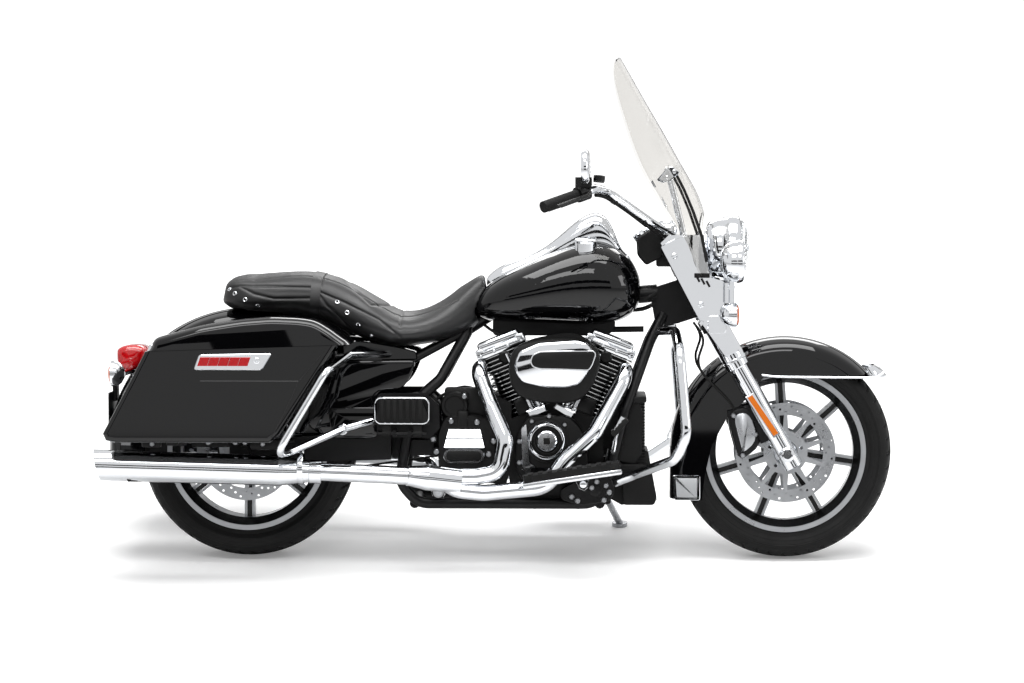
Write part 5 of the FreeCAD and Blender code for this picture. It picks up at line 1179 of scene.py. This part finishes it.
# Rider footboards: stamped steel, chromed below, with a ribbed rubber mat on top. Each hinges on a lug
# bolted to the frame, so that it folds when the motorcycle leans over.
tilt = Matrix.Rotation(math.radians(-8.7), 4, "Y")
for side, name in SIDES:
    place = Matrix.Translation((986, side * 252, 262)) @ tilt
    bm = bmesh.new()
    for index in range(9):
        block(bm, (-128 + 29 * index, side * 59 - 38, 31), (-113 + 29 * index, side * 59 + 38, 35), 1.5)
    piece(f"board_mat_ribs_{name}", bm, f"board_{name}", rubber, 35, place)
    bm = bmesh.new()
    block(bm, (-147, side * 60 - 46, -4), (147, side * 60 + 46, 13), 5)
    tip = [(0, 10), (50, 10), (40, -34), (28, -42), (14, -34)]
    layered(bm, tip, [(side * 20, 2), (side * 23, 0), (side * 33, 0), (side * 36, 2)])
    lathe(bm, (28, side * 34, -22), (0, side, 0), [(0, 0), (0, 11), (6, 10), (8, 7), (8, 0)], 24)
    piece(f"board_steel_{name}", bm, f"board_{name}", chrome, 35, place)
bolted("board_bracket_bolts", "chassis", steel, 8.5, 7,
       [((x, side * 155, z), (0, side, 0)) for side in (-1, 1)
        for x, z in ((982, 195), (1000, 183), (1042, 222), (1057, 240), (1084, 228), (1078, 186),
                     (1094, 208))])
# The lug each board hinges on: a forged black plate over the frame tube, held by seven bolts.
bracket = softened([(946, 216), (1030, 262), (1066, 269), (1102, 246), (1112, 210), (1096, 180), (1006, 168),
                    (950, 186)], 12)
bm = bmesh.new()
for side in (-1, 1):
    layered(bm, bracket, [(side * 128, 2), (side * 132, 0), (side * 152, 0), (side * 156, 3)])
    lathe(bm, (1052, side * 150, 216), (0, side, 0), [(0, 0), (0, 20), (8, 19), (9, 15), (9, 0)], 28)
piece("board_brackets", bm, "chassis", powder)
bm = bmesh.new()
pad = Matrix.Translation((1124, -286, 414)) @ Matrix.Rotation(math.radians(41), 4, "Y")
block(bm, (-8, -34, -32), (8, 34, 32), 4, pad)
for index in range(4):
    block(bm, (-11, -30, -26 + 14 * index), (-6, 30, -18 + 14 * index), 1.2, pad)
lathe(bm, (1160, 236, 404), LEFT, [(0, 0), (0, 14), (54, 14), (58, 11), (58, 0)], 24)
piece("pedal_rubbers", bm, "chassis", rubber)


# Front fender: pressed steel in gloss black. A chromed bead runs along each lower edge to a chromed tip in
# front, and a chromed frame holds a satin inlay at each side of its tail.
satin_grey, shader = coated("satin_grey_inlay_film", "A4A6A8", 0.4, Metallic=0.4)
grained(satin_grey, shader, 1.0, 0.01, 0.04)
for side, name in SIDES:
    bm = bmesh.new()
    sweep(bm, flowing([(1552, side * 87, 556), (1600, side * 88, 551), (1700, side * 88, 550),
                       (1860, side * 88, 549), (1900, side * 88, 553), (1924, side * 87, 572)], 4), 3.4, 10)
    cap = softened([(1284, 254), (1368, 254), (1368, 178), (1290, 178)], 7)
    layered(bm, cap, [(side * 80, 0), (side * 88, 0), (side * 90, 2)])
    piece(f"fender_trim_{name}", bm, "steering", chrome)
    bm = bmesh.new()
    layered(bm, inset(cap, 9), [(side * 86, 0), (side * 91, 0), (side * 91.6, 1)])
    piece(f"fender_tail_inlay_{name}", bm, "steering", satin_grey)
bm = bmesh.new()
rings = []
for k in range(25):
    y = -88 + 176 * k / 24
    bulge = 1 - (abs(y) / 90) ** 4
    rings.append([bm.verts.new(point) for point in
                  ((1870 + 28 * bulge, y, 580 + 4 * bulge), (1880 + 40 * bulge, y, 570),
                   (1884 + 47 * bulge, y, 554), (1882 + 46 * bulge, y, 547), (1876 + 40 * bulge, y, 549),
                   (1872 + 34 * bulge, y, 562), (1864 + 27 * bulge, y, 576 + 4 * bulge))])
skinned(bm, rings)
piece("fender_tip", bm, "steering", chrome, 50)


# Front brake calipers: four-piston castings in satin black with a bright inlay, each straddling its disc,
# bolted to the foot of the fork. A hose feeds each one.
caliper = rounded([(1445, 450), (1523, 468), (1562, 360), (1487, 294), (1470, 350)], 2)
bridge = [(1447, 450), (1523, 467), (1531, 449), (1504, 426), (1486, 396), (1472, 366), (1452, 400)]
for side, name in SIDES:
    bm = bmesh.new()
    layered(bm, caliper, [(side * 79, 3), (side * 82, 0), (side * 108, 0), (side * 114, 3), (side * 116, 8)])
    layered(bm, caliper, [(side * 66, 3), (side * 63, 0), (side * 50, 0), (side * 46, 5)])
    layered(bm, bridge, [(side * 48, 2), (side * 112, 2)])
    layered(bm, [(1528, 420), (1572, 396), (1580, 366), (1548, 352)], [(side * 96, 0), (side * 124, 0)])
    made = piece(f"brake_caliper_{name}", bm, "steering", powder)
    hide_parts("front_calipers")
    bm = bmesh.new()
    layered(bm, inset(caliper, 17), [(side * 112, 0), (side * 118, 0), (side * 119, 1.5)])
    piece(f"caliper_inlay_{name}", bm, "steering", cast_silver)
bolted("caliper_bolts", "steering", steel, 8, 8,
       [((x, side * 118, z), (0, side, 0)) for side in (-1, 1)
        for x, z in ((1466, 436), (1532, 380), (1494, 316))])


# Fork: polished tubes in chromed shrouds above and chromed sliders below, with rings where they meet and an
# amber side reflector on each slider.
amber_reflector, shader = coated("amber_reflector_plastic", "C66404", 0.2, Specular_IOR_Level=0.2,
                                 Coat_Weight=0.3, Coat_Roughness=0.04)
celled(amber_reflector, shader)
leg_up = Vector((-0.4886, 0, 0.8725))
bm, lenses = bmesh.new(), bmesh.new()
for side in (-1, 1):
    foot = FRONT_AXLE + Vector((0, side * 125, 0))
    for along, low, high in ((296, 29, 33), (316, 33, 37.6), (448, 37.4, 39)):
        lathe(bm, foot + leg_up * along, leg_up,
              [(0, low - 3), (0, low + 2), (3, high + 0.6), (9, high + 0.6), (12, high - 1), (12, low - 3)],
              48, True)
    lathe(bm, FRONT_AXLE, (0, side, 0),
          [(138, 0), (138, 24), (156, 22), (162, 16), (163, 8), (160, 6), (160, 0)], 32)
    layered(bm, [(1500, 494), (1522, 506), (1606, 386), (1584, 372)],
            [(side * 146, 0), (side * 154, 0), (side * 155, 1)])
    layered(lenses, [(1506, 492), (1520, 500), (1598, 387), (1584, 378)],
            [(side * 150, 0), (side * 157, 0), (side * 158, 1)])
piece("fork_rings_and_axle_caps", bm, "steering", chrome)
piece("fork_reflectors", lenses, "steering", amber_reflector)


# Nacelle: chromed pressings round the top of the fork, one smooth plate each side from the handlebar down
# to the shrouds, held by two screws. A black housing behind them carries one dial under glass.
panel = [(1245, 942), (1281, 963), (1329, 978), (1346, 897), (1364, 858), (1436, 840), (1436, 730),
         (1450, 690), (1482, 634), (1440, 612), (1364, 718), (1340, 762)]
bm = bmesh.new()
for side in (-1, 1):
    layered(bm, softened(panel, 9), [(side * 150, 2), (side * 161, 0), (side * 163, 1.5)])
    layered(bm, softened([(1386, 684), (1442, 684), (1442, 738), (1386, 738)], 12),
            [(side * 150, 0), (side * 166, 0), (side * 168, 2)])
    for x, z in ((1287, 915), (1366, 770)):
        lathe(bm, (x, side * 162, z), (0, side, 0),
              [(0, 0), (0, 9.5), (2, 9), (4.5, 6), (4.5, 3), (3, 2.4), (3, 0)], 24)
    lathe(bm, (1368, side * 166, 716), (0, side, 0), [(0, 0), (0, 7), (9, 6), (9, 0)], 16)
piece("nacelle_side_plates", bm, "steering", chrome)
bm = bmesh.new()
layered(bm, softened([(1176, 966), (1231, 1004), (1256, 969), (1256, 911), (1205, 884), (1179, 914)], 9),
        [(-46, 5), (-42, 0), (42, 0), (46, 5)])
block(bm, (1236, -30, 880), (1286, 30, 930), 6)
piece("instrument_housing", bm, "steering", crinkle)
bm = bmesh.new()
dial, dial_way = Vector((1204, 0, 984)), Vector((-0.57, 0, 0.82))
lathe(bm, dial, dial_way, [(-8, 34), (-8, 41), (8, 42), (12, 39), (12, 35)], 56, True)
block(bm, (1240, -64, 972), (1298, 64, 1012), 15, None, 4)
for x in (1252, 1284):
    for y in (-46, 46):
        lathe(bm, (x, y, 1010), (0, 0, 1), [(0, 0), (0, 7), (7, 6.4), (9, 4), (9, 0)], 16)
piece("instrument_bezel_and_riser_clamp", bm, "steering", chrome)
bm = bmesh.new()
lathe(bm, dial, dial_way, [(0, 0), (0, 35), (8, 35), (10, 26), (11, 0)], 48)
lens, shader = coated("clear_lamp_lens", "F4F6F7", 0.03, Transmission_Weight=0.9, IOR=1.3)
grained(lens, shader, 7.0, 0.25)
finish(lens, "headlamp_lens")
piece("instrument_glass", bm, "steering", lens)


# Lamps: chromed bowls, each with a bright reflector behind a moulded lens. The turn signals below have
# amber lenses.
bm = bmesh.new()
lathe(bm, (1385, 0, 937), (1, 0, 0),
      [(0, 0), (0, 52), (3, 66), (9, 76), (20, 83), (40, 89), (64, 94), (66, 97), (72, 98.5), (84, 99),
       (94, 98), (101, 94), (103, 90.5), (99, 88.5), (91, 87.5), (82, 70), (75, 40), (72, 12), (72, 0)], 96)
lathe(bm, (1403, 0, 937), (1, 0, 0), [(50, 0), (50, 9), (84, 8), (90, 4), (91, 0)], 20)
made = piece("headlamp_bowl", bm, "steering", chrome, 50)
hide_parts("headlamp")
bm = bmesh.new()
for side in (-1, 1):
    lathe(bm, (1422, side * 205, 899), (1, 0, 0),
          [(0, 0), (0, 24), (3, 34), (10, 45), (22, 55), (36, 60.5), (48, 62), (50, 63.5), (60, 64), (66, 62),
           (69, 58), (68, 55), (62, 54.5), (54, 40), (50, 16), (50, 0)], 72)
    lathe(bm, (1424, side * 205, 741), (1, 0, 0),
          [(0, 0), (0, 9), (3, 18), (10, 27), (22, 33), (34, 36), (40, 37), (46, 36.5), (47, 34.5), (43, 34),
           (40, 0)], 56)
    lathe(bm, (1441, side * 205, 776), (0, 0, 1), [(0, 0), (0, 8), (60, 8), (60, 0)], 20)
made = piece("passing_lamp_and_signal_bowls", bm, "steering", chrome, 50)
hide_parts("side_lamps")
bm = bmesh.new()
for side in (-1, 1):
    lathe(bm, (1421, side * 205, 899), (1, 0, 0),
          [(62, 0), (62, 54), (68, 54), (73, 42), (77, 20), (78, 0)], 48)
piece("passing_lamp_lenses", bm, "steering", lens, 50)
bm = bmesh.new()
for side in (-1, 1):
    lathe(bm, (1425, side * 205, 741), (1, 0, 0),
          [(38, 0), (38, 34), (44, 34), (50, 29), (53, 18), (54, 0)], 40)
piece("front_signal_lenses", bm, "steering", amber_lens, 50)


# Windshield: one clear sheet of polycarbonate, bent by heat, held between black moulded strips on chromed
# stays. Its clips sit in rubber on the nacelle.
screen, shader = coated("clear_hard_coated_polycarbonate", "E9E8E6", 0.02, Transmission_Weight=1.0, IOR=1.08)
place = add_node(screen.node_tree, "ShaderNodeTexCoord")
ripple = add_node(screen.node_tree, "ShaderNodeTexNoise", {"Vector": place.outputs["Object"], "Scale": 6.0})
bump = add_node(screen.node_tree, "ShaderNodeBump", {"Height": ripple.outputs[0], "Distance": 0.001,
                                                     "Strength": 0.1})
screen.node_tree.links.new(bump.outputs[0], shader.inputs["Normal"])
finish(screen, "windshield")
strip_black, shader = coated("black_moulded_trim", "070707", 0.4, Specular_IOR_Level=0.3)
grained(strip_black, shader, 1.2, 0.03, 0.05)
bm = bmesh.new()
for side in (-1, 1):
    strip = [(1277, 1176), (1310, 1112), (1338, 1046), (1364, 972), (1379, 896)]
    layered(bm, strip + [(x + 9, z + 2) for x, z in reversed(strip)], [(side * 146, 0), (side * 153, 0)])
piece("windshield_trim", bm, "steering", strip_black)
bm = bmesh.new()
for side in (-1, 1):
    layered(bm, softened([(1239, 1142), (1275, 1184), (1305, 1162), (1262, 1132)], 8),
            [(side * 150, 1), (side * 153, 0), (side * 163, 0), (side * 165, 2)])
    for x, z in ((1264, 1148), (1286, 1166)):
        lathe(bm, (x, side * 162, z), (0, side, 0), [(0, 0), (0, 7), (5, 6), (6, 3), (6, 0)], 20)
piece("windshield_clips", bm, "steering", chrome)
bm = bmesh.new()
for side in (-1, 1):
    for shift in (0, 15, 30):
        high = Vector((1352 + shift, side * 163, 856 - 0.5 * shift))
        sweep(bm, [high, high + Vector((10, 0, -18))], 3.4, 10)
    block(bm, (1346, side * 162 - 4, 850), (1392, side * 162 + 4, 864), 2)
piece("windshield_grommets", bm, "steering", rubber)


# Handlebar: bent chromed tube with black switch housings. The cables and the brake line follow it in black
# rubber sleeves, clipped to the tube, down into the nacelle. The mirrors are silvered glass in chromed
# shells.
finish(strip_black, "hand_controls")
bm = bmesh.new()
for side in (-1, 1):
    for radius, run in ((5.2, ((1052, 310, 1096), (1086, 262, 1088), (1150, 196, 1046), (1222, 150, 992),
                               (1262, 112, 972), (1290, 84, 958))),
                        (3.6, ((1050, 306, 1124), (1092, 256, 1112), (1158, 200, 1066), (1228, 158, 1012),
                               (1266, 120, 990), (1292, 92, 972)))):
        sweep(bm, flowing([(x, side * y, z) for x, y, z in run], 6), radius, 10)
piece("control_cables", bm, "steering", rubber)
bm = bmesh.new()
for side in (-1, 1):
    for x, y, z in ((1112, 226, 1082), (1196, 164, 1024)):
        lathe(bm, (x, side * y, z), (0.5, -side * 0.55, -0.3), [(-6, 0), (-6, 15), (6, 15), (6, 0)], 20)
    lathe(bm, (1062, side * 330, 1136), (0.1, 0, 1), [(0, 0), (0, 17), (16, 17), (18, 14), (18, 0)], 24)
piece("cable_clips", bm, "steering", strip_black)
mirror_glass, shader = coated("silvered_mirror_glass", "E6E9EC", 0.02, Metallic=1.0)
grained(mirror_glass, shader, 30.0, 0.005)
bm = bmesh.new()
for side in (-1, 1):
    oval_points = [(side * 405 + y, 1177 + z) for y, z in fin_outline(66, -40, 40, 36)]
    skinned(bm, [[bm.verts.new((x, y, z)) for y, z in oval_points] for x in (1012.5, 1016)])
piece("mirror_glass", bm, "steering", mirror_glass)


# Brake hoses: reinforced rubber with a crimped end at each caliper. Each runs along this curve from the clip
# under the lower clamp down to its caliper.
HOSE_DIAMETER, HOSE_LENGTH = 0.0076, 0.3105
for side, name in SIDES:
    run = [(1353, 124, 706), (1366, 126, 690), (1377, 128, 660), (1366, 130, 628), (1359, 130, 606),
           (1364, 130, 576), (1386, 128, 546), (1421, 124, 512), (1462, 114, 470), (1474, 106, 446)]
    curve = bpy.data.curves.new(f"brake_hose_{name}", "CURVE")
    curve.dimensions = "3D"
    spline = curve.splines.new("NURBS")
    spline.points.add(len(run) - 1)
    for point, (x, y, z) in zip(spline.points, run):
        point.co = tuple(STANCE @ (Vector((x, side * y, z)) * MM)) + (1.0,)
    spline.order_u = 3
    spline.use_endpoint_u = True
    curve.bevel_depth = HOSE_DIAMETER / 2
    curve.bevel_resolution = 4
    curve.use_fill_caps = True
    hose = placed(f"brake_hose_{name}", curve)
    curve.materials.append(rubber)
    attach(hose, "steering")


# Wiring and hoses: rubber-covered looms that run from the neck to the tank, and breather and oil hoses of
# black rubber pushed onto stubs round the engine.
bm = bmesh.new()
for side in (-1, 1):
    for radius, run in ((6, ((1236, 46, 800), (1200, 50, 782), (1160, 52, 776), (1120, 60, 770))),
                        (4.5, ((1236, 44, 770), (1196, 52, 752), (1150, 56, 748), (1110, 58, 744)))):
        sweep(bm, flowing([(x, side * y, z) for x, y, z in run], 5), radius, 10)
piece("neck_wiring", bm, "chassis", rubber)
bm = bmesh.new()
sweep(bm, [(1052, -34, 690), (1198, -34, 692)], 9, 16)
for line in ([(800, -70, 688), (770, -90, 676), (740, -84, 690), (716, -60, 706)],
             [(1120, -104, 470), (1090, -112, 430), (1060, -110, 380), (1030, -108, 330)],
             [(520, -100, 420), (548, -120, 460), (600, -118, 500), (660, -96, 520), (720, -80, 500)],
             [(560, 80, 430), (620, 96, 470), (700, 92, 500), (780, 80, 520)]):
    sweep(bm, flowing(line, 6), 4.6, 10)
piece("engine_hoses_and_wires", bm, "chassis", rubber)


# Tank: one welded steel shell in gloss black with two chromed screw caps. The console along the top is a
# chromed pressing.
bm = bmesh.new()
for side in (-1, 1):
    lathe(bm, (1024, side * 111, 954), (0.03, side * 0.13, 0.99),
          [(0, 0), (0, 34), (6, 35), (10, 33), (12, 27), (13, 0)], 48)
piece("fuel_caps", bm, "chassis", chrome)
